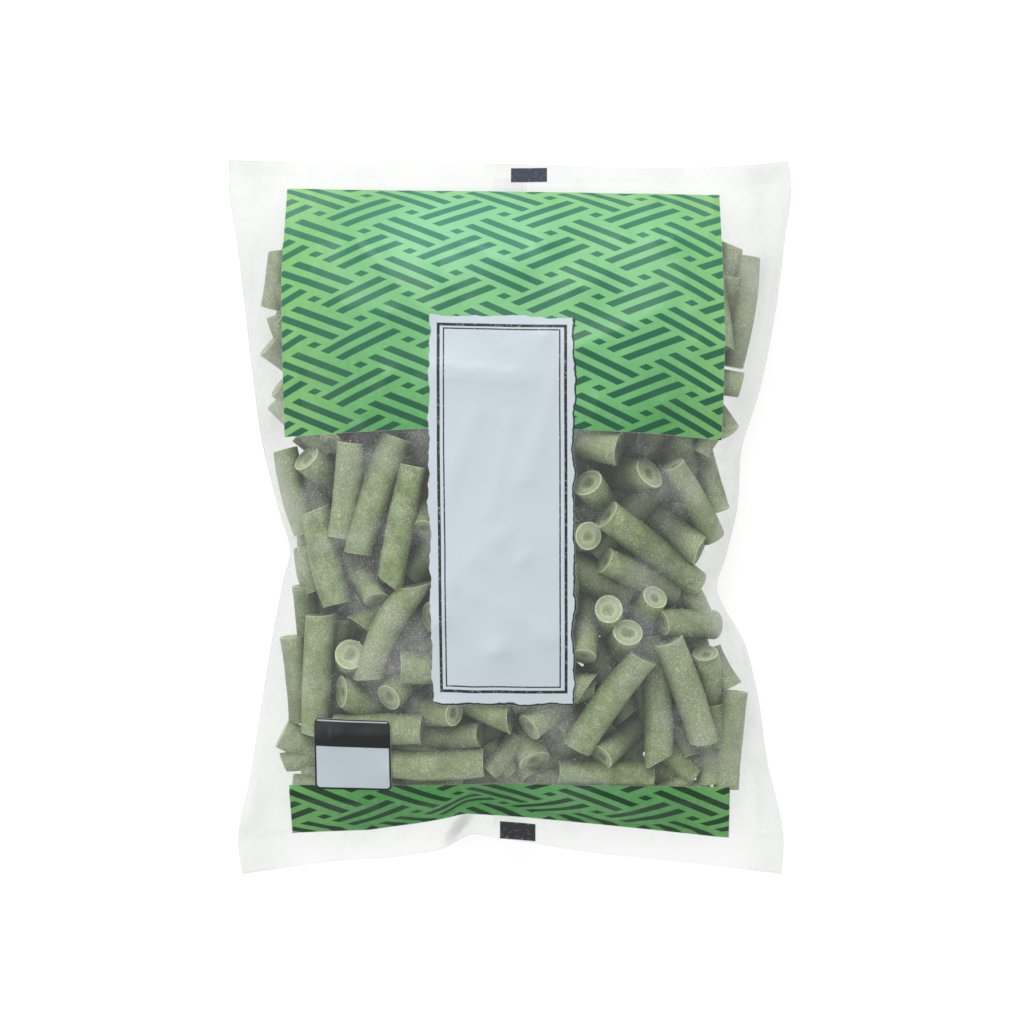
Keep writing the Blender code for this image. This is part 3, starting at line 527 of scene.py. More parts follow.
# %% Rings of a bean
# distance inwards from the cut in mm, share of the radius, and place: 0 skin, 1 rim, 2 middle of the cut
CUT_RINGS = [(0.95, 0.16, 1.92), (0.85, 0.36, 1.66), (0.35, 0.58, 1.42), (0.30, 0.82, 1.14),
             (0.0, 0.975, 1.0), (0.28, 1.0, 0.5), (0.85, 1.0, 0.0)]
CAGE_MAKEUP = 1.095       # subdivision draws the eight corners in by about this much
BELLY, UNEVEN_SHARE = 0.05, 0.022
MIDDLE_STATIONS = (0.2, 0.35, 0.5, 0.65, 0.8)

draws = np.random.default_rng(7)
SHAPE_LOW, SHAPE_HIGH = (0, 0.2, -0.07, 0.94, 0, 0, 0), (2 * math.pi, 1.2, 0.07, 1.05, 1, 1, 1)
bend_angle, bend_reach, taper, oval, tone, frost, uneven = draws.uniform(
    SHAPE_LOW, SHAPE_HIGH, (BEANS, 7)).T
CURVED = 11               # the curved bean's place in the list above
bend_angle[CURVED], bend_reach[CURVED], taper[CURVED] = 0.0, 3.6, 0.05
# a bean listed in LEADS doesn't arch up into the film: its bend is turned level instead
lead_bends = bend_angle[:len(LEADS)]
bend_angle[:len(LEADS)] = np.where(np.sin(lead_bends) > 0.3, math.pi, lead_bends)


def bean_surface(angles, middle_stations, makeup):
    """Points of every bean as an array of beans, rings, angles and x, y, z, and each ring's place.

    A ring's centre runs from one cut to the other, moved sideways by bend x 4t(1 - t). Round it the
    points lie at the radius x share, which tapers and swells in a slow wave along the bean. A
    slanted cut leans the rings of its end along the axis by the tangent of the slant.
    """
    run = end - start
    length = np.sqrt(dot(run, run))
    way = run / length[:, None]
    side, over = across_axis(way)
    bend = (np.cos(bend_angle)[:, None] * side + np.sin(bend_angle)[:, None] * over) * bend_reach[:, None]
    rings = [(0, *ring) for ring in CUT_RINGS]
    rings += [(2, t, 1.0 + BELLY * math.sin(math.pi * t), 0.0) for t in middle_stations]
    rings += [(1, *ring) for ring in reversed(CUT_RINGS)]
    rows, places = [], []
    for part, inwards, share, place in rings:
        if part == 2:
            distance, lean, drawn = length * inwards, 0.0, 0.0
        else:
            slope = np.tan(np.radians(slants[:, part]))
            lean, drawn = slope, DRAW_IN * np.abs(slope) * radius
            distance = inwards + drawn if part == 0 else length - inwards - drawn
        t = distance / length
        bulge = UNEVEN_SHARE * np.sin(2 * math.pi * (t * (1.4 + uneven) + 3 * uneven))
        fat = radius * share * makeup * (1 + taper * (1 - 2 * t) + bulge)
        across = (np.cos(angles)[None, :, None] * side[:, None] * oval[:, None, None]
                  + np.sin(angles)[None, :, None] * over[:, None] / oval[:, None, None])
        centre = start + way * distance[:, None] + bend * (4 * t * (1 - t))[:, None]
        leaning = (fat * lean)[:, None] * np.cos(angles)[None, :]
        rows.append(centre[:, None] + fat[:, None, None] * across + leaning[..., None] * way[:, None])
        places.append(np.full((BEANS, len(angles)), place))
    return np.stack(rows, axis=1), np.stack(places, axis=1)


def mesh_object(name, points, faces, smooth=True):
    """A mesh object at the origin from points in millimetres and lists of corner numbers."""
    mesh = bpy.data.meshes.new(name)
    mesh.from_pydata((np.asarray(points) * MM).tolist(), [], faces)
    if smooth:
        mesh.shade_smooth()
    mesh.validate()
    piece = bpy.data.objects.new(name, mesh)
    bpy.context.scene.collection.objects.link(piece)
    return piece


def store(mesh, name, values):
    """Keep one number for each point of the mesh, for its material to read."""
    layer = mesh.attributes.new(name, "FLOAT", "POINT")
    layer.data.foreach_set("value", np.asarray(values, np.float32).ravel())


def make_bean_piece(name, chosen, levels):
    """One mesh of the chosen beans: quads between rings, and a cap on each end, then subdivision."""
    angles = BEAN_TURN + 2 * math.pi * np.arange(BEAN_SIDES) / BEAN_SIDES
    points, places = bean_surface(angles, MIDDLE_STATIONS, CAGE_MAKEUP)
    points, places = points[chosen], places[chosen]
    count, rings, sides = points.shape[:3]
    number = np.arange(count * rings * sides).reshape(count, rings, sides)
    beyond = np.roll(number, -1, axis=2)
    quads = np.stack([number[:, :-1], beyond[:, :-1], beyond[:, 1:], number[:, 1:]], axis=-1)
    caps = np.concatenate([number[:, 0, ::-1], number[:, -1]])
    piece = mesh_object(name, points.reshape(-1, 3), quads.reshape(-1, 4).tolist() + caps.tolist())
    store(piece.data, "cut", places)
    s, v = where(points[..., 0], points[..., 1])
    # how deep each point lies inside the packet, from which the bean material paints shade
    inside = np.minimum(front(s, v) - points[..., 2], points[..., 2] - back(s, v))
    store(piece.data, "depth", np.clip(inside, 0, 30))
    for title, values in (("tone", tone), ("frost", frost)):
        store(piece.data, title, np.broadcast_to(values[chosen, None, None], places.shape))
    rounding = piece.modifiers.new("rounding", "SUBSURF")
    rounding.levels = rounding.render_levels = levels
    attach(piece, "root")
    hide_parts("cut_beans")
    print(name, count, "beans", len(piece.data.polygons), "cage faces")
    return piece


lead_numbers = np.arange(len(LEADS))
filler_numbers = np.arange(len(LEADS), PLACED)
hole_numbers = np.arange(PLACED, BEANS)
left_leads = lead_numbers[np.array(LEADS)[:, 0] < 0]
right_leads = lead_numbers[np.array(LEADS)[:, 0] >= 0]
bean_pieces = [make_bean_piece(name, chosen, levels) for name, chosen, levels in (
    ("beans_left", left_leads, 2), ("beans_right", right_leads, 2),
    ("beans_deep", filler_numbers, 1), ("beans_between", hole_numbers, 1))]

# %% [markdown]
# ## Frost crumbs
# Loose frost sits on frozen beans as tiny bright grains. Noise alone gives a soft bloom, so the
# largest grains are real here: eight-sided crumbs on seeded points of the beans' skin.

# %% Frost crumbs
CRUMBS, CRUMB_RADIUS, CRUMB_DEPTH = 2600, (0.10, 0.27), 9.0


def frost_crumbs():
    """An octahedron at each drawn skin point: six corners at the crumb's radius along turned axes."""
    rng = np.random.default_rng(19)
    skin_points, places = bean_surface(np.linspace(0, 2 * math.pi, 24, endpoint=False),
                                       np.linspace(0.06, 0.94, 26), 1.0)
    middle = skin_points.mean(axis=2, keepdims=True)
    outwards = skin_points - middle
    outwards /= np.maximum(np.sqrt((outwards ** 2).sum(axis=-1, keepdims=True)), 1e-6)
    points, outwards = skin_points.reshape(-1, 3), outwards.reshape(-1, 3)
    s, v = where(points[:, 0], points[:, 1])
    near_film = front(s, v) - points[:, 2] < CRUMB_DEPTH
    usable = np.flatnonzero(near_film & (outwards[:, 2] > -0.1) & (places.ravel() < 1.2))
    chosen = rng.choice(usable, CRUMBS, replace=False)
    size = rng.uniform(*CRUMB_RADIUS, (CRUMBS, 1, 1)) * rng.uniform(0.6, 1.0, (CRUMBS, 3, 1))
    first = rng.normal(size=(CRUMBS, 3))
    first /= np.sqrt(dot(first, first))[:, None]
    second = np.cross(first, outwards[chosen])
    second /= np.maximum(np.sqrt(dot(second, second)), 1e-6)[:, None]
    axes = np.stack([first, second, np.cross(first, second)], axis=1) * size
    spread = rng.normal(0, 0.35, (CRUMBS, 3))
    centres = points[chosen] + spread - outwards[chosen] * (dot(spread, outwards[chosen]) - 0.05)[:, None]
    corners = np.stack([centres + sign * axes[:, k] for k in range(3) for sign in (1, -1)], axis=1)
    pattern = np.array([(0, 2, 4), (2, 1, 4), (1, 3, 4), (3, 0, 4),
                        (2, 0, 5), (1, 2, 5), (3, 1, 5), (0, 3, 5)])
    faces = (np.arange(CRUMBS)[:, None, None] * 6 + pattern).reshape(-1, 3)
    return mesh_object("frost_crumbs", corners.reshape(-1, 3), faces.tolist(), smooth=False)


crumbs = frost_crumbs()
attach(crumbs, "root")
print("frost crumbs:", CRUMBS, "faces", len(crumbs.data.polygons))

# %% [markdown]
# ## The film as a stretched skin
# Real film lies on the beans that touch it and hangs in shallow hollows between them. A cloth
# simulation could find that shape, but it is slow and never settles quite the same. Here the film is
# a height over an even grid. Each cell takes the mean of its four neighbours, again and again, and
# is held up wherever a bean is higher. That is the shape of a stretched skin over pegs.

# %% Film over the beans
FILM_GAP, HANG, LEAST_SUNK, PEG_SUNK = 0.30, 0.0035, 0.12, 0.15
HELD_ACROSS, HELD_ALONG = 0.97, 0.985
HANG_PASSES, GAP_PASSES, LADEN_PASSES = 700, 30, 4
roof = front(cell_s, cell_v)
floor_of_packet = np.maximum(back(cell_s, cell_v), 0.0)


def neighbours_mean(height):
    """Mean of the four cells round each cell."""
    padded = np.pad(height, 1, mode="edge")
    return (padded[:-2, 1:-1] + padded[2:, 1:-1] + padded[1:-1, :-2] + padded[1:-1, 2:]) / 4


def spread_high(height):
    """The highest of each cell and its eight neighbours."""
    padded = np.pad(height, 1, mode="edge")
    rows, columns = height.shape
    return np.max([padded[i:i + rows, j:j + columns] for i in range(3) for j in range(3)], axis=0)


def bean_tops():
    """Height of the highest bean over each cell, from points spread closely over all of them."""
    angles = np.linspace(0, 2 * math.pi, 28, endpoint=False)
    points, _ = bean_surface(angles, np.linspace(0.08, 0.92, 30), 1.02)
    flat = points.reshape(-1, 3)
    i = np.clip(np.rint(flat[:, 0] + half_x).astype(int), 0, grid_x.shape[0] - 1)
    j = np.clip(np.rint(flat[:, 1] + half_y).astype(int), 0, grid_x.shape[1] - 1)
    tops = np.full(grid_x.shape, -1.0)
    np.maximum.at(tops, (i, j), flat[:, 2])
    return tops


tops = bean_tops()
held = (np.abs(cell_s) > HELD_ACROSS) | (np.abs(along(cell_v)) > HELD_ALONG)
pegs = np.minimum(spread_high(tops) + FILM_GAP, roof - PEG_SUNK)
skin = roof.copy()
for _ in range(HANG_PASSES):
    skin = np.where(held, roof, np.clip(neighbours_mean(skin) - HANG, pegs, roof - LEAST_SUNK))
sunk = roof - skin
gap = np.clip(skin - np.maximum(spread_high(tops), floor_of_packet), 0, 30)
laden = (tops > 0).astype(float)
for _ in range(GAP_PASSES):
    gap = neighbours_mean(gap)
for _ in range(LADEN_PASSES):
    laden = neighbours_mean(laden)
print("film hangs at most", round(float(sunk.max()), 1), "mm below the smooth front")


def read_cells(layer, x, y):
    """A grid layer's value at any x, y, blended from its four nearest cells."""
    rows, columns = layer.shape
    return between_points([layer], np.clip(x + half_x, 0, rows - 1.001),
                          np.clip(y + half_y, 0, columns - 1.001))[0]


# %% [markdown]
# ## Folds and puckers
# Welding a full bag flat at its ends gathers the film into small pleats, and creases run in from the
# two waists at its sides. They could be painted as bump only, but then the outline and the exported
# mesh would be smooth. Here each crease is a line in plan with a depth and a width.

# %% Creases in the film
# from x, y to x, y, depth and half width in mm
CREASES = [
    (72, -26, 88, 18, 1.1, 2.2), (72, -26, 86, -62, 1.1, 2.2), (66, 24, 84, 14, 0.8, 1.6),
    (66, -30, 40, -22, 0.35, 2.0), (-74, -12, -84, 22, 1.0, 2.0), (-74, -12, -84, -50, 1.0, 2.2),
    (-74, -12, -52, -6, 0.35, 2.0), (-92, 60, -88, 100, 0.8, 2.4), (90, 60, 92, 104, 0.8, 2.4),
    (-90, -80, -88, -112, 0.9, 2.2), (88, -84, 90, -112, 0.9, 2.2), (-20, -116, -10, -98, 1.2, 3.0),
    (-40, -116, -34, -104, 0.7, 2.0), (22, -116, 20, -102, 0.7, 2.0),
    (83.4, 34.5, 71.7, 14.9, 0.7, 1.5), (56.8, 20.3, 71, -2.8, 0.5, 1.3),
    (78.8, -4.6, 68.9, -24.1, 0.8, 1.5), (68.9, -24.1, 78.8, -43.6, 0.8, 1.5),
]
PLEAT_DEPTH, PLEAT_REACH = 0.55, 9.0


def crease_depth(x, y):
    """Sum over the creases of depth x exp(-(distance / width)^2), fading towards both ends."""
    total = np.zeros_like(x)
    for x0, y0, x1, y1, depth, width in CREASES:
        run_x, run_y = x1 - x0, y1 - y0
        share = ((x - x0) * run_x + (y - y0) * run_y) / (run_x ** 2 + run_y ** 2)
        inside = np.clip(share, 0, 1)
        away = np.hypot(x - x0 - inside * run_x, y - y0 - inside * run_y)
        ends_fade = np.sqrt(np.clip(4 * inside * (1 - inside), 0.02, 1))
        total += depth * np.exp(-(away / width) ** 2) * ends_fade
    return total


def pleat_depth(s, v):
    """Pleats at the seals: a sum of waves across, fading with the distance from the seal."""
    from_bottom = (v * LENGTH - BOTTOM_SEAL)
    from_top = ((1 - v) * LENGTH - TOP_SEAL)
    total = 0
    for away, phase in ((from_bottom, 0.3), (from_top, 2.1)):
        past = np.maximum(away, 0)
        fade = np.where(away > 0, np.exp(-past / PLEAT_REACH) * (1 - np.exp(-past / 2)), 0)
        waves = np.sin(31 * s + phase) + 0.6 * np.sin(53 * s + 2 * phase) + 0.4 * np.sin(87 * s + 5 * phase)
        total = total + PLEAT_DEPTH * fade * (waves + 2)
    return total


# The right side's film lies flat outside this line: y to x in mm
FLANGE_LINE = [(-62, 83.0), (-48, 76.0), (-27, 66.5), (-10, 71.0), (22, 80.5), (34, 88.0)]


def flange(x, y):
    """1 outside the flange line, 0 inside it, over a soft 2 mm step."""
    knots, line = np.array(FLANGE_LINE, float).T
    reach = np.interp(y, knots, line, left=200.0, right=200.0)
    return np.clip((x - reach) / 2.0 + 0.5, 0, 1)


# %% Film mesh
ACROSS, LENGTHWAYS, CROWDING = 151, 191, 0.82
# stations across are a sine of even steps, so that they crowd towards the two sides
u = np.linspace(-1, 1, ACROSS)
station_s = np.sin(u * math.pi / 2 * CROWDING) / math.sin(math.pi / 2 * CROWDING)
station_v = np.linspace(0, 1, LENGTHWAYS)
film_s, film_v = np.meshgrid(station_s, station_v, indexing="ij")
film_x, film_y = plan(film_s, film_v)
smooth_front = front(film_s, film_v)
WELD_GAP = 0.28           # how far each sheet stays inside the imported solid's face
inside_fade = np.clip((1 - np.abs(film_s)) / 0.03, 0, 1)
lowered = (read_cells(sunk, film_x, film_y) + crease_depth(film_x, film_y) + pleat_depth(film_s, film_v))
front_z = smooth_front - WELD_GAP - lowered * inside_fade
back_z = back(film_s, film_v) + WELD_GAP
front_z = np.maximum(front_z, read_cells(pegs, film_x, film_y) - 0.1)
front_z = np.maximum(front_z, back_z + 0.2)


def sheet_pair(name, x, y, top, bottom):
    """A closed skin: the top sheet, the bottom sheet turned over, and a strip round their rims."""
    rows, columns = x.shape
    number = np.arange(rows * columns).reshape(rows, columns)
    quads = np.stack([number[:-1, :-1], number[1:, :-1], number[1:, 1:], number[:-1, 1:]], axis=-1)
    quads = quads.reshape(-1, 4)
    turned = quads[:, ::-1] + number.size
    rim = np.concatenate([number[:, 0], number[-1, 1:], number[-2::-1, -1], number[0, -2:0:-1]])
    beyond = np.roll(rim, -1)
    strip = np.stack([rim, rim + number.size, beyond + number.size, beyond], axis=-1)
    points = np.concatenate([np.stack([x, y, z], axis=-1).reshape(-1, 3) for z in (top, bottom)])
    return mesh_object(name, points, np.concatenate([quads, turned, strip]).tolist())


film = sheet_pair("film_skin", film_x, film_y, front_z, back_z)
folded = crease_depth(film_x, film_y) + 0.35 * pleat_depth(film_s, film_v) + 0.8 * flange(film_x, film_y)
for title, values, on_back in (("gap", read_cells(gap, film_x, film_y), 1),
                               ("laden", read_cells(laden, film_x, film_y), 1), ("fold", folded, 0)):
    store(film.data, title, np.concatenate([values.ravel(), on_back * values.ravel()]))
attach(film, "root")
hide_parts("film_bag")
print("film_skin:", len(film.data.polygons), "faces")

# %% [markdown]
# ## Where the print lies on the film
# The print was made on flat film, and only then was the film bent round the beans. Seen from above
# its pattern is squeezed wherever the film slopes. A pattern on plain x and y would miss that. Here
# the print's own coordinates are lengths measured along the film, in millimetres, kept as a UV map.
# They are stretched a little so that the printed edges, which are straight on flat film, land where
# the photograph has them.

# %% The print's own coordinates
PRINT_LEFT = [(-113, -77.5), (-94, -78.1), (27.8, -79.5), (86, -80.9), (117.4, -79.4)]
PRINT_RIGHT = [(-113.4, 78.2), (-95.3, 78.1), (26.8, 74.5), (66, 75.7), (114.6, 74.7)]
PANEL_TOP_EDGE = [(-79.4, 117.4), (-20, 116.2), (30, 115.2), (74.7, 114.6)]
PANEL_LOW_EDGE = [(-79.5, 27.8), (-27.7, 31.0), (22.6, 30.6), (48.8, 29.3), (74.5, 26.8)]
BAND_TOP_EDGE = [(-78.1, -94.9), (-3.6, -94.3), (78.1, -95.8)]
BAND_LOW_EDGE = [(-77.5, -114.4), (-64, -112.8), (-42.7, -111.8), (-28.4, -109.2), (-20.6, -107.2),
                 (-14.2, -105.1), (-3.6, -106.1), (7.1, -107.5), (32, -110.6), (60.4, -114.2),
                 (78.2, -115.8)]


def level_read(points, at):
    """Straight lines through the points, level beyond their ends."""
    knots, values = np.array(points, float).T
    return np.interp(at, knots, values)


def lengths_along(axis, zero_at):
    """Length along the smooth film from the line where the given plan coordinate is zero."""
    steps = [np.diff(a, axis=axis) for a in (film_x, film_y, smooth_front)]
    step = np.sqrt(sum(a * a for a in steps))
    total = np.cumsum(np.concatenate([np.zeros_like(step.take([0], axis)), step], axis=axis), axis=axis)
    lines = range(film_x.shape[1 - axis])
    zero = np.array([np.interp(0.0, zero_at.take(k, 1 - axis), total.take(k, 1 - axis)) for k in lines])
    return total - np.expand_dims(zero, axis)


length_u, length_v = lengths_along(0, film_x), lengths_along(1, film_y)
row_y, column_x = film_y[ACROSS // 2], film_x[:, LENGTHWAYS // 2]
left_u = np.array([np.interp(level_read(PRINT_LEFT, row_y[j]), film_x[:, j], length_u[:, j])
                   for j in range(LENGTHWAYS)])
right_u = np.array([np.interp(level_read(PRINT_RIGHT, row_y[j]), film_x[:, j], length_u[:, j])
                    for j in range(LENGTHWAYS)])
edge_v = np.array([[np.interp(level_read(edge, column_x[i]), film_y[i], length_v[i])
                    for edge in (BAND_LOW_EDGE, BAND_TOP_EDGE, PANEL_LOW_EDGE, PANEL_TOP_EDGE)]
                   for i in range(ACROSS)])
PRINTED_ROWS, PRINTED_COLUMNS = slice(20, 170), slice(12, ACROSS - 12)
clear_rows = (row_y < 28) & (row_y > -95)         # between the panel and the band nothing is printed
for edge in (left_u, right_u):
    edge[clear_rows] = np.interp(row_y[clear_rows], row_y[~clear_rows], edge[~clear_rows])
PRINT_U0, PRINT_U1 = float(left_u[PRINTED_ROWS].mean()), float(right_u[PRINTED_ROWS].mean())
targets = edge_v[PRINTED_COLUMNS].mean(axis=0)
BAND_V0, BAND_V1, PANEL_V0, PANEL_V1 = (float(a) for a in targets)
print_u = np.where(length_u < 0, length_u * PRINT_U0 / left_u, length_u * PRINT_U1 / right_u)
print_v = np.empty_like(length_v)
for i in range(ACROSS):
    knots = edge_v[i]
    print_v[i] = np.interp(length_v[i], knots, targets)
    print_v[i] += np.minimum(length_v[i] - knots[0], 0) + np.maximum(length_v[i] - knots[-1], 0)


def print_place(x, y):
    """The print's own coordinates of a point of the front, seen from above."""
    s, v = where(np.float64(x), np.float64(y))
    across = np.interp(s, station_s, np.arange(ACROSS))
    lengthways = np.interp(v, station_v, np.arange(LENGTHWAYS))
    return [float(value) for value in between_points((print_u, print_v), across, lengthways)]


WELD_TOP_V, WELD_LOW_V = print_place(0, 118.2)[1], print_place(40, -108.9)[1]
BACK_SHIFT = 1000.0       # the back sheet's coordinates lie far from every printed place
place_of_points = np.concatenate([np.stack([print_u, print_v], axis=-1).reshape(-1, 2),
                                  np.stack([print_u, print_v - BACK_SHIFT], axis=-1).reshape(-1, 2)])
corners = np.empty(len(film.data.loops), np.int32)
film.data.loops.foreach_get("vertex_index", corners)
print_layer = film.data.uv_layers.new(name="print_mm").data
print_layer.foreach_set("uv", place_of_points[corners].astype(np.float32).ravel())
print("print spans u", round(PRINT_U0, 1), round(PRINT_U1, 1), "and v, band then panel:", targets.round(1))

# %% [markdown]
# ## Shader maths as Python expressions
# A printed pattern is a formula on the print's coordinates. Wiring dozens of Math nodes by hand hides
# that formula. Here a small class wraps a node's output, so that a plain expression such as
# 1 - mask adds the nodes it needs.

# %% A recipe for a material
class Wire:
    """A node's output. Arithmetic on it adds Math nodes and gives the result as a new wire."""

    def __init__(self, recipe, socket):
        self.recipe, self.socket = recipe, socket

    def maths(self, operation, *others):
        return self.recipe.node("ShaderNodeMath", {"operation": operation}, [self, *others])

    def __add__(self, other):
        return self.maths("ADD", other)

    def __sub__(self, other):
        return self.maths("SUBTRACT", other)

    def __rsub__(self, other):
        return self.recipe.node("ShaderNodeMath", {"operation": "SUBTRACT"}, [other, self])

    def __mul__(self, other):
        return self.maths("MULTIPLY", other)

    def __truediv__(self, other):
        return self.maths("DIVIDE", other)

    def __abs__(self):
        return self.maths("ABSOLUTE")

    __radd__, __rmul__ = __add__, __mul__

    def smooth(self, low, high, floor=0.0, ceiling=1.0):
        """An eased step from floor at low to ceiling at high."""
        return self.recipe.node("ShaderNodeMapRange", {"interpolation_type": "SMOOTHSTEP"},
                                [self, low, high, floor, ceiling])

    def clamp(self):
        return self.maths("MINIMUM", 1.0).maths("MAXIMUM", 0.0)


def highest(masks):
    """The highest of several masks: covered where any of them covers."""
    most = masks[0]
    for mask in masks[1:]:
        most = most.maths("MAXIMUM", mask)
    return most


class Recipe:
    """A material and its one Principled shader."""

    def __init__(self, name, **values):
        self.material = bpy.data.materials.new(name)
        self.material.use_nodes = True
        self.tree = self.material.node_tree
        self.shader = self.tree.nodes["Principled BSDF"]
        self.set(self.shader, values)

    def set(self, node, values):
        """Give sockets their values or links; values is a list in socket order or a dict by name."""
        pairs = values.items() if isinstance(values, dict) else enumerate(values)
        for key, value in pairs:
            if isinstance(value, Wire):
                self.tree.links.new(value.socket, node.inputs[key])
            elif value is not None:
                node.inputs[key].default_value = value

    def node(self, kind, settings=None, values=(), output=0):
        """Add any node: its settings first, a ramp's stops among them, and then its sockets."""
        node = self.tree.nodes.new(kind)
        for key, value in (settings or {}).items():
            if key == "stops":
                ramp = node.color_ramp
                while len(ramp.elements) < len(value):
                    ramp.elements.new(1.0)
                for element, (place, colour) in zip(ramp.elements, value):
                    element.position = place
                    element.color = (*colour, 1.0)
            else:
                setattr(node, key, value)
        self.set(node, values)
        return Wire(self, node.outputs[output])

    def kept(self, name):
        """A number kept on the mesh's points under this name."""
        return self.node("ShaderNodeAttribute", {"attribute_name": name}, output=2)

    def own_place(self):
        """The piece's own coordinates, in metres."""
        return self.node("ShaderNodeTexCoord", output=3)

    def parts(self, place):
        """The first two coordinates of a place, as two wires."""
        first = self.node("ShaderNodeSeparateXYZ", None, [place])
        return first, Wire(self, first.socket.node.outputs[1])

    def blend(self, share, one, other):
        """A colour between two colours."""
        one, other = ((*c, 1.0) if isinstance(c, tuple) and len(c) == 3 else c for c in (one, other))
        return self.node("ShaderNodeMix", {"data_type": "RGBA"}, {0: share, 6: one, 7: other}, output=2)

    def noise(self, place, scale, detail=2.0, rough=0.5):
        """A noise value from 0 to 1 at a place in metres; scale is in bumps per metre."""
        return self.node("ShaderNodeTexNoise", None,
                         {"Vector": place, "Scale": scale, "Detail": detail, "Roughness": rough})

    def dots(self, place, scale, small, large):
        """Scattered round dots: 1 near the points of a seeded cell pattern, 0 elsewhere."""
        away = self.node("ShaderNodeTexVoronoi", None, {"Vector": place, "Scale": scale})
        return away.smooth(small, large, 1, 0)

    def finish(self, pieces, **values):
        self.set(self.shader, values)
        for piece in pieces:
            piece.data.materials.clear()
            piece.data.materials.append(self.material)
        print(self.material.name, "has", len(self.tree.nodes), "nodes")


def bright(colour):
    """A colour as seen on a screen, 0 to 255, in the linear light that shaders use."""
    shares = [c / 255 for c in colour]
    return tuple(c / 12.92 if c <= 0.04045 else ((c + 0.055) / 1.055) ** 2.4 for c in shares)


# %% [markdown]
# ## Frozen bean skin and cut faces
# Frozen beans are a dull grey green, dusted with frost that gathers in patches and specks. Their cut
# faces are paler, with a bright line of skin round them, a fine ring in the flesh and a darker middle.
# One colour with noise would lose the cut faces. Here the place number kept on every ring of the
# mesh picks the colour across the cut. The frost over it is scattered dots of two sizes and a fine
# grain, all thicker in soft patches. What lies deep in the heap is painted darker: a painted shade
# for the shadow among the beans, from how deep each point lies inside the packet.

# %% Bean material
beans = Recipe("frozen_bean", Roughness=0.55)
where_on_bean = beans.own_place()
cut, bean_tone, bean_frost, depth = (beans.kept(name) for name in ("cut", "tone", "frost", "depth"))
ripple = beans.noise(where_on_bean, 260, 3)
patches = beans.noise(where_on_bean, 95, 3, 0.6)
dots = beans.dots(where_on_bean, 1350, 0.15, 0.30)
fine_dots = beans.dots(where_on_bean, 2300, 0.16, 0.36)
grains = beans.noise(where_on_bean, 700, 3, 0.7)
# colours from the cut's edge to its middle: raised skin, flesh, the fine ring, flesh and hollow
CUT_STOPS = [(0.02, (200, 210, 174)), (0.09, (230, 236, 216)), (0.19, (152, 170, 116)),
             (0.45, (166, 183, 130)), (0.55, (200, 211, 172)), (0.66, (152, 170, 116)),
             (0.95, (88, 106, 62))]
towards_middle = (cut - 0.9) / 1.1 * ((ripple - 0.5) * 1.1 + 1.0) + (grains - 0.5) * 0.30
cut_colour = beans.node("ShaderNodeValToRGB", {"stops": [(a, bright(c)) for a, c in CUT_STOPS]},
                        [towards_middle])
skin_dark = beans.blend(ripple.smooth(0.35, 0.68), bright((80, 107, 42)), bright((120, 145, 68)))
skin_colour = beans.blend(bean_tone * 0.8, skin_dark, bright((120, 134, 88)))
is_cut = cut.smooth(0.42, 0.85)
bare = beans.blend(is_cut, skin_colour, cut_colour)
frost_amount = (patches.smooth(0.34, 0.72) * 0.85 + bean_frost * 0.35 + 0.12).clamp()
frost_mask = (dots * (frost_amount * 0.72 + 0.26) + fine_dots * (frost_amount * 0.46 + 0.16)
              + grains.smooth(0.48, 0.74) * frost_amount * 0.34 + frost_amount * 0.22).clamp()
frosted = beans.blend(frost_mask, bare, bright((205, 215, 184)))
# painted shade: points deep inside the packet are painted darker, for the shadow among the beans
shade = depth.smooth(3.0, 12.0) * 0.78
painted_deep_shade = beans.blend(shade, frosted, bright((24, 44, 16)))
bean_bump = beans.node("ShaderNodeBump", None, {
    "Strength": 0.6, "Distance": 0.0005, "Height": ripple * 0.6 + dots * 0.15 + grains * 0.35})
beans.finish(bean_pieces, **{"Base Color": painted_deep_shade, "Roughness": frost_mask * 0.25 + 0.5,
                             "Normal": bean_bump})

# %% Frost grains
grain_ice = Recipe("frost_grain", Roughness=0.45)
grain_cloud = grain_ice.noise(grain_ice.own_place(), 400)
grain_ice.finish([crumbs], **{
    "Base Color": grain_ice.blend(grain_cloud, bright((206, 214, 198)), bright((246, 249, 244)))})

# %% [markdown]
# ## The printed film
# Clear film is nearly invisible where it lies on a bean and turns milky where it stands clear of
# them. The ink is almost solid. A second printed sheet over the film would flicker against it, so
# here the film has one material whose opacity changes. The green fence is the traditional cypress
# fence: pairs of slanted bars and small diamonds, repeated in a cell of 33.6 by 16.15 mm. A bar is a
# box in slanted coordinates, a = (u + v/k)/2 and b = (u - v/k)/2, where k is the bars' slope.

# %% Masks for the print
film_ink = Recipe("printed_clear_film", IOR=1.45)
u_mm, v_mm = film_ink.parts(film_ink.node("ShaderNodeUVMap", {"uv_map": "print_mm"}))
where_on_film = film_ink.own_place()
INK_EDGE = 0.16


def inside_box(a, b, low, high, edge=INK_EDGE):
    """1 inside the box between two corners, 0 outside: a steep step down on each of its four sides."""
    half_a, half_b = (high[0] - low[0]) / 2, (high[1] - low[1]) / 2
    away_a, away_b = abs(a - (low[0] + half_a)), abs(b - (low[1] + half_b))
    in_a = away_a.smooth(half_a - edge, half_a + edge, 1, 0)
    return in_a * away_b.smooth(half_b - edge, half_b + edge, 1, 0)


def wrapped(value, centre, cell):
    """Distance from the nearest repeat of the centre: moved - cell x round(moved / cell)."""
    moved = value - centre
    return moved - (moved / cell).maths("ROUND") * cell


CELL_U, CELL_V, BAR_SLOPE = 33.6, 16.15, 0.434
PATTERN_U, PATTERN_V = print_place(-68.8, 76.6)
BAR_HALF_LENGTH, BAR_HALF_WIDTH, DIAMOND_HALF = 10.4, 1.45, 1.38
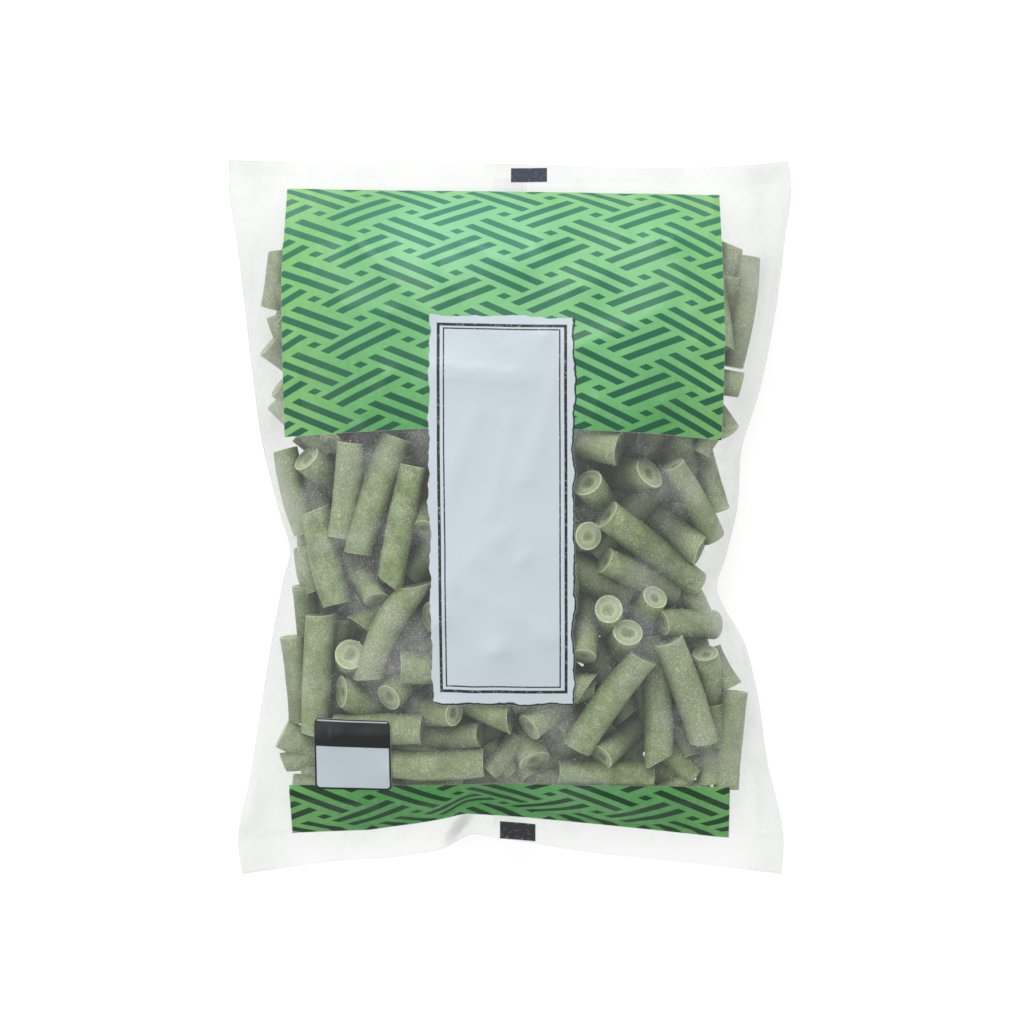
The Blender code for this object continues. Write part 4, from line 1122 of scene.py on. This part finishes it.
# centres in a cell, in mm from its diamond; a bar's centre is the mean of its two ends
RISING = [((3.6 + 24.7) / 2, (-3.0 + 6.3) / 2), ((8.9 + 30.0) / 2, (-5.6 + 3.6) / 2)]
FALLING = [((-7.6 + 13.2) / 2, (-2.6 - 11.5) / 2), ((-12.9 + 7.9) / 2, (-5.3 - 14.2) / 2)]
DIAMONDS = [(0.0, 0.0), (16.8, -8.07)]
band_place = print_place(-49.8, -99.3)
band_place = band_place[0] - CELL_U / 2, band_place[1] + CELL_V / 2
in_band = v_mm.smooth(BAND_V1 + 5, BAND_V1 + 6, 1, 0)
moved_u = u_mm - in_band * (band_place[0] - PATTERN_U)
moved_v = v_mm - in_band * (band_place[1] - PATTERN_V)
bars = []
for centres, reach_a, reach_b in ((RISING, BAR_HALF_LENGTH, BAR_HALF_WIDTH),
                                  (FALLING, BAR_HALF_WIDTH, BAR_HALF_LENGTH),
                                  (DIAMONDS, DIAMOND_HALF, DIAMOND_HALF)):
    for across_by, up_by in centres:
        du = wrapped(moved_u, PATTERN_U + across_by, CELL_U)
        dv = wrapped(moved_v, PATTERN_V + up_by, CELL_V) / BAR_SLOPE
        bars.append(inside_box((du + dv) / 2, (du - dv) / 2, (-reach_a, -reach_b), (reach_a, reach_b)))

panel = inside_box(u_mm, v_mm, (PRINT_U0, PANEL_V0), (PRINT_U1, PANEL_V1))
band = inside_box(u_mm, v_mm, (PRINT_U0, BAND_V0), (PRINT_U1, BAND_V1))
green_print = highest([panel, band])
print("the fence is drawn with", len(bars), "boxes in a cell")

# %% [markdown]
# ## Label panel, small box and register marks
# The label is a pale panel with a torn-paper edge, a thick and a thin frame line and a thin shadow
# line on its right and lower edge. The box at the lower left has a black head over a pale field. The
# dark blocks on the two welds are what the packing machine reads. All of them are boxes in the
# print's coordinates, and the label's edge is torn by adding noise to those coordinates.

# %% Label and marks
LABEL_INK, FRAME_THICK, FRAME_THIN = 0.10, 1.05, 0.50
label_lo, label_hi = print_place(-27.1, -64.6), print_place(21.9, 69.9)
frame_lo, frame_hi = print_place(-24.4, -61.2), print_place(19.9, 67.2)
line_lo, line_hi = print_place(-22.4, -59.2), print_place(17.6, 65.6)
flutter = film_ink.noise(where_on_film, 105, 1) * 3.4 + film_ink.noise(where_on_film, 420, 2) - 2.2
label_u, label_v = u_mm + flutter, v_mm + flutter * 0.9
label = inside_box(label_u, label_v, label_lo, label_hi)
rim = inside_box(label_u - 0.6, label_v + 0.7, label_lo, label_hi)


def outline(a, b, low, high, thick):
    """A frame line: the box less the box drawn in by the line's thickness."""
    inner = inside_box(a, b, [c + thick for c in low], [c - thick for c in high], LABEL_INK)
    return inside_box(a, b, low, high, LABEL_INK) - inner


worn = film_ink.noise(where_on_film, 800, 3, 0.7).smooth(0.52, 0.70) * 0.4
frame_lines = (outline(u_mm, v_mm, frame_lo, frame_hi, FRAME_THICK)
               + outline(u_mm, v_mm, line_lo, line_hi, FRAME_THIN)).clamp() * (1 - worn)


def turned_from(u, v, angle):
    """Coordinates in turned axes: u cos + v sin, and v cos - u sin."""
    return u * math.cos(angle) + v * math.sin(angle), v * math.cos(angle) - u * math.sin(angle)


BOX_TILT, BOX_LINE, FIELD_TOP = math.radians(-1.5), 0.75, (3.0, 3.3)
ROUND_CORNER, FIELD_CORNER = 2.0, 1.3
box_lo, box_hi = print_place(-68.7, -96.6), print_place(-42.3, -71.0)
box_middle = [(a + b) / 2 for a, b in zip(box_lo, box_hi)]
box_half = [(b - a) / 2 for a, b in zip(box_lo, box_hi)]
box_u, box_v = turned_from(u_mm - box_middle[0], v_mm - box_middle[1], BOX_TILT)


def rounded(a, b, half, corner):
    """A box with round corners: the distance from a smaller box, less the corner's radius."""
    past_a = (abs(a) - (half[0] - corner)).maths("MAXIMUM", 0.0)
    past_b = (abs(b) - (half[1] - corner)).maths("MAXIMUM", 0.0)
    away = (past_a * past_a + past_b * past_b).maths("SQRT") - corner
    return away.smooth(-INK_EDGE, INK_EDGE, 1, 0)


small_box = rounded(box_u, box_v, box_half, ROUND_CORNER)
field_half = [half - BOX_LINE for half in box_half]
box_field = rounded(box_u, box_v, field_half, FIELD_CORNER) * box_v.smooth(*FIELD_TOP, 1, 0)
box_glint = inside_box(box_u, box_v, (1.2 - box_half[0], box_half[1] - 1.0),
                       (box_half[0] - 1.2, box_half[1] - 0.55))

MARK_CORNERS = [((0.3, 119.3), (13.2, 124.5)), ((-3.6, -116.5), (9.1, -109.5))]
marks = highest([inside_box(u_mm, v_mm, print_place(*low), print_place(*high))
                 for low, high in MARK_CORNERS])
print("label from", [round(a, 1) for a in label_lo], "to", [round(a, 1) for a in label_hi])

# %% [markdown]
# ## Ink colours, and how milky the film is
# The green is not even: it is painted paler and cooler towards the top and in a spot high in the
# middle, a painted sheen where the film catches the light, and it is yellower at its edges. Clear
# film is milky where it stands off the beans, at its sides, folds and welds, and it holds a dust of
# frost where it lies on them. Near the lower weld the film curls up, and the shade of that curl is
# painted as a short grey streak. Each of these is a mask that moves the colour or the opacity by its
# share.

# %% Colours and haze of the film
soft_patches = film_ink.noise(where_on_film, 14, 2)
fine_grain = film_ink.noise(where_on_film, 900, 2)
# painted sheen: the green and its bars are painted paler towards the top, where the film catches the light
painted_top_sheen = v_mm.smooth(10, 120)
fresh = film_ink.blend((soft_patches.smooth(0.35, 0.65) * 0.35 + painted_top_sheen * 0.6).clamp(),
                       bright((80, 157, 82)), bright((140, 211, 146)))
at_edge = abs(u_mm).smooth(52.0, 80.0) * 0.45 + v_mm.smooth(108.0, 122.0) * 0.35
fresh = film_ink.blend(at_edge.clamp(), fresh, bright((148, 204, 116)))
# painted sheen: a pale, cool spot high in the middle of the panel, painted where the film catches the light
sheen_spot_u, sheen_spot_v = (u_mm + 18.0) / 42.0, (v_mm - 102.0) / 24.0
painted_sheen_spot = (1 - (sheen_spot_u * sheen_spot_u + sheen_spot_v * sheen_spot_v)).smooth(0.0, 1.0) * 0.42
fresh = film_ink.blend(painted_sheen_spot, fresh, bright((150, 222, 178)))
dark_bar = film_ink.blend(painted_top_sheen, bright((26, 86, 58)), bright((56, 130, 100)))
fresh = film_ink.blend(in_band * 0.4, fresh, bright((58, 128, 52)))
dark_bar = film_ink.blend(in_band, dark_bar, bright((6, 60, 28)))
# the bars are painted paler in the painted sheen spot too
dark_bar = film_ink.blend(painted_sheen_spot, dark_bar, bright((84, 152, 134)))
weave = film_ink.noise(where_on_film, 520, 4, 0.75)
fresh = film_ink.blend(weave.smooth(0.40, 0.72) * 0.16, fresh, bright((158, 218, 160)))
green = film_ink.blend(highest(bars), fresh, dark_bar)
# painted shade: a short grey streak where the film curls up by the lower weld, for the shade of that curl
CURL_ANGLE, CURL_HALF_LENGTH, CURL_HALF_WIDTH = math.radians(42), 11.0, 3.6
curl_u, curl_v = print_place(-18.5, -109.8)
curl_along, curl_across = turned_from(u_mm - curl_u, v_mm - curl_v, CURL_ANGLE)
curl_along, curl_across = curl_along / CURL_HALF_LENGTH, curl_across / CURL_HALF_WIDTH
curl = (1 - (curl_along * curl_along + curl_across * curl_across)).smooth(0.0, 1.0)
# the clear film's colour, painted grey in the curl's painted shade
clear = film_ink.blend(curl, bright((236, 238, 236)), bright((180, 182, 177)))
colour = film_ink.blend(green_print, clear, green)
for mask, ink in ((rim, (40, 50, 46)), (label, (205, 217, 224)), (frame_lines, (38, 38, 44)),
                  (small_box, (22, 24, 26)), (box_field, (196, 208, 216)), (box_glint, (190, 196, 200))):
    colour = film_ink.blend(mask, colour, bright(ink))
mark_ink = film_ink.blend(in_band, bright((62, 65, 84)), bright((34, 38, 44)))
colour = film_ink.blend(marks, colour, film_ink.blend(worn, mark_ink, bright((150, 152, 160))))
printed_on = (green_print + rim + label + small_box + marks).clamp()

gap_mm, folds, over_beans = (film_ink.kept(name) for name in ("gap", "fold", "laden"))
milk = gap_mm.smooth(4.0, 17.0)
welded = v_mm.smooth(WELD_TOP_V, WELD_TOP_V + 1.0) + v_mm.smooth(WELD_LOW_V, WELD_LOW_V + 1.0, 1, 0)
smears = film_ink.noise(where_on_film, 38, 4, 0.6)
CLEAR_ALPHA, MILKY_ALPHA, INK_ALPHA = 0.07, 0.26, 0.99
SMEAR_HAZE, WELD_HAZE, FOLD_HAZE, DUST_HAZE, SIDE_HAZE, CURL_SHADE_HAZE = 0.18, 0.10, 0.20, 0.42, 0.20, 0.14
dust = film_ink.dots(where_on_film, 1500, 0.14, 0.26) * smears.smooth(0.30, 0.62)
dust = dust * over_beans.smooth(0.7, 1.0)
sides = abs(u_mm).smooth(74.0, 96.0) * (smears * 0.5 + 0.75)
# the curl's painted shade is made hazier as well, so that its grey shows
haze = (milk * (MILKY_ALPHA - CLEAR_ALPHA) + CLEAR_ALPHA + smears.smooth(0.46, 0.75) * SMEAR_HAZE
        + welded * WELD_HAZE + folds.clamp() * FOLD_HAZE + dust * DUST_HAZE + sides * SIDE_HAZE
        + curl * CURL_SHADE_HAZE).clamp()
alpha = haze + printed_on * (INK_ALPHA - haze)
crinkle = film_ink.noise(where_on_film, 55, 4, 0.55)
film_bump = film_ink.node("ShaderNodeBump", None, {
    "Strength": 0.35, "Distance": 0.0012, "Height": crinkle + fine_grain * 0.015})
film_ink.finish([film], **{"Base Color": colour, "Alpha": alpha, "Normal": film_bump,
                           "Roughness": printed_on * 0.08 + 0.30})

# %% [markdown]
# ## The welded seam on the back
# The film is one web whose two side edges meet at the middle of the back, where they are welded into
# a fin that lies flat. The packet rests on it. It is a flat ribbon carried along the back.

# %% Back seam
SEAM_ROWS, SEAM_COLUMNS, SEAM_LOW, SEAM_HIGH = 90, 7, 0.02, 0.98
RIBBON_THICK, RIBBON_LIFT, RIBBON_WAVE, CRIMP_STEP = 0.17, 0.03, 3.1, 1.6
ribbon_v = np.linspace(SEAM_LOW, SEAM_HIGH, SEAM_ROWS)
ribbon_across = np.linspace(-SEAM_HALF, SEAM_HALF, SEAM_COLUMNS)
ribbon_x, ribbon_rows = np.meshgrid(ribbon_across, ribbon_v, indexing="ij")
ribbon_y = plan(0 * ribbon_rows, ribbon_rows)[1]
ribbon_s, ribbon_back_v = where(ribbon_x, ribbon_y)
ribbon_low = back(ribbon_s, ribbon_back_v) + RIBBON_LIFT + RIBBON_LIFT * np.sin(ribbon_y / RIBBON_WAVE)
seam = sheet_pair("back_seam", ribbon_x, ribbon_y, ribbon_low + RIBBON_THICK, ribbon_low)
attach(seam, "root")
seam_film = Recipe("welded_film", Roughness=0.32, IOR=1.45)
seam_place = seam_film.own_place()
seam_across, seam_run = (metres * (1 / MM) for metres in seam_film.parts(seam_place))
crimp = (seam_run * (2 * math.pi / CRIMP_STEP)).maths("SINE") * 0.5 + 0.5
seam_cloud = seam_film.noise(seam_place, 90, 3)
weld = abs(seam_across - 1.5).smooth(3.0, 3.6, 1, 0)
seam_bump = seam_film.node("ShaderNodeBump", None, {
    "Strength": 0.6, "Distance": 0.0002, "Height": crimp * weld + seam_cloud * 0.5})
seam_colour = seam_film.blend(seam_cloud, bright((214, 219, 217)), bright((236, 239, 238)))
seam_film.finish([seam], **{"Base Color": seam_colour, "Normal": seam_bump,
                            "Alpha": weld * 0.05 + seam_cloud * 0.04 + 0.07})

# %% [markdown]
# ## Floor, light and camera
# The photograph looks straight down on the packet against plain white, with soft light from all
# round and a little more from beyond its top end. A pale floor that glows faintly keeps the
# background as even as in the photograph, so that it needs no paper sweep.

# %% Floor
FLOOR_HALF = 12.0
floor_mesh = bpy.data.meshes.new("floor")
floor_corners = [(FLOOR_HALF * x, FLOOR_HALF * y, 0) for x, y in ((-1, -1), (1, -1), (1, 1), (-1, 1))]
floor_mesh.from_pydata(floor_corners, [], [(0, 1, 2, 3)])
ground = bpy.data.objects.new("floor", floor_mesh)
bpy.context.scene.collection.objects.link(ground)
pale = Recipe("pale_floor", Roughness=0.9)
pale_cloud = pale.noise(pale.own_place(), 3, 1)
pale.finish([ground], **{"Base Color": pale.blend(pale_cloud, (0.30, 0.30, 0.30), (0.32, 0.32, 0.32)),
                         "Emission Color": (1.0, 1.0, 1.0, 1.0), "Emission Strength": 0.76})

# %% Lights, world and camera
def soft_lamp(name, place, aim, size, power):
    """A square soft box at a place, turned towards its aim."""
    lamp = bpy.data.lights.new(name, "AREA")
    lamp.shape, lamp.size, lamp.energy = "SQUARE", size, power
    holder = bpy.data.objects.new(name, lamp)
    holder.location = place
    holder.rotation_euler = (Vector(aim) - Vector(place)).to_track_quat("-Z", "Y").to_euler()
    bpy.context.scene.collection.objects.link(holder)
    return holder


soft_lamp("lamp_beyond", (-0.15, 1.15, 1.05), (0, 0.03, 0.02), 0.9, 9.0)
soft_lamp("lamp_side", (-0.9, -0.2, 1.3), (0, 0, 0.02), 0.8, 4.0)
world = bpy.data.worlds.new("studio")
bpy.context.scene.world = world
world.use_nodes = True
sky = world.node_tree.nodes["Background"]
sky.inputs["Color"].default_value = (1.0, 1.0, 1.0, 1.0)
sky.inputs["Strength"].default_value = 0.62
bpy.context.scene.view_settings.view_transform = "Standard"

camera = bpy.data.cameras.new("camera")
camera.lens, camera.sensor_width = 107.5, 36.0
camera.dof.use_dof = False
viewer = bpy.data.objects.new("camera", camera)
viewer.location = (0.0007, 0.0018, 1.1)
bpy.context.scene.collection.objects.link(viewer)
bpy.context.scene.camera = viewer
print("camera looks straight down from", viewer.location[2], "m")
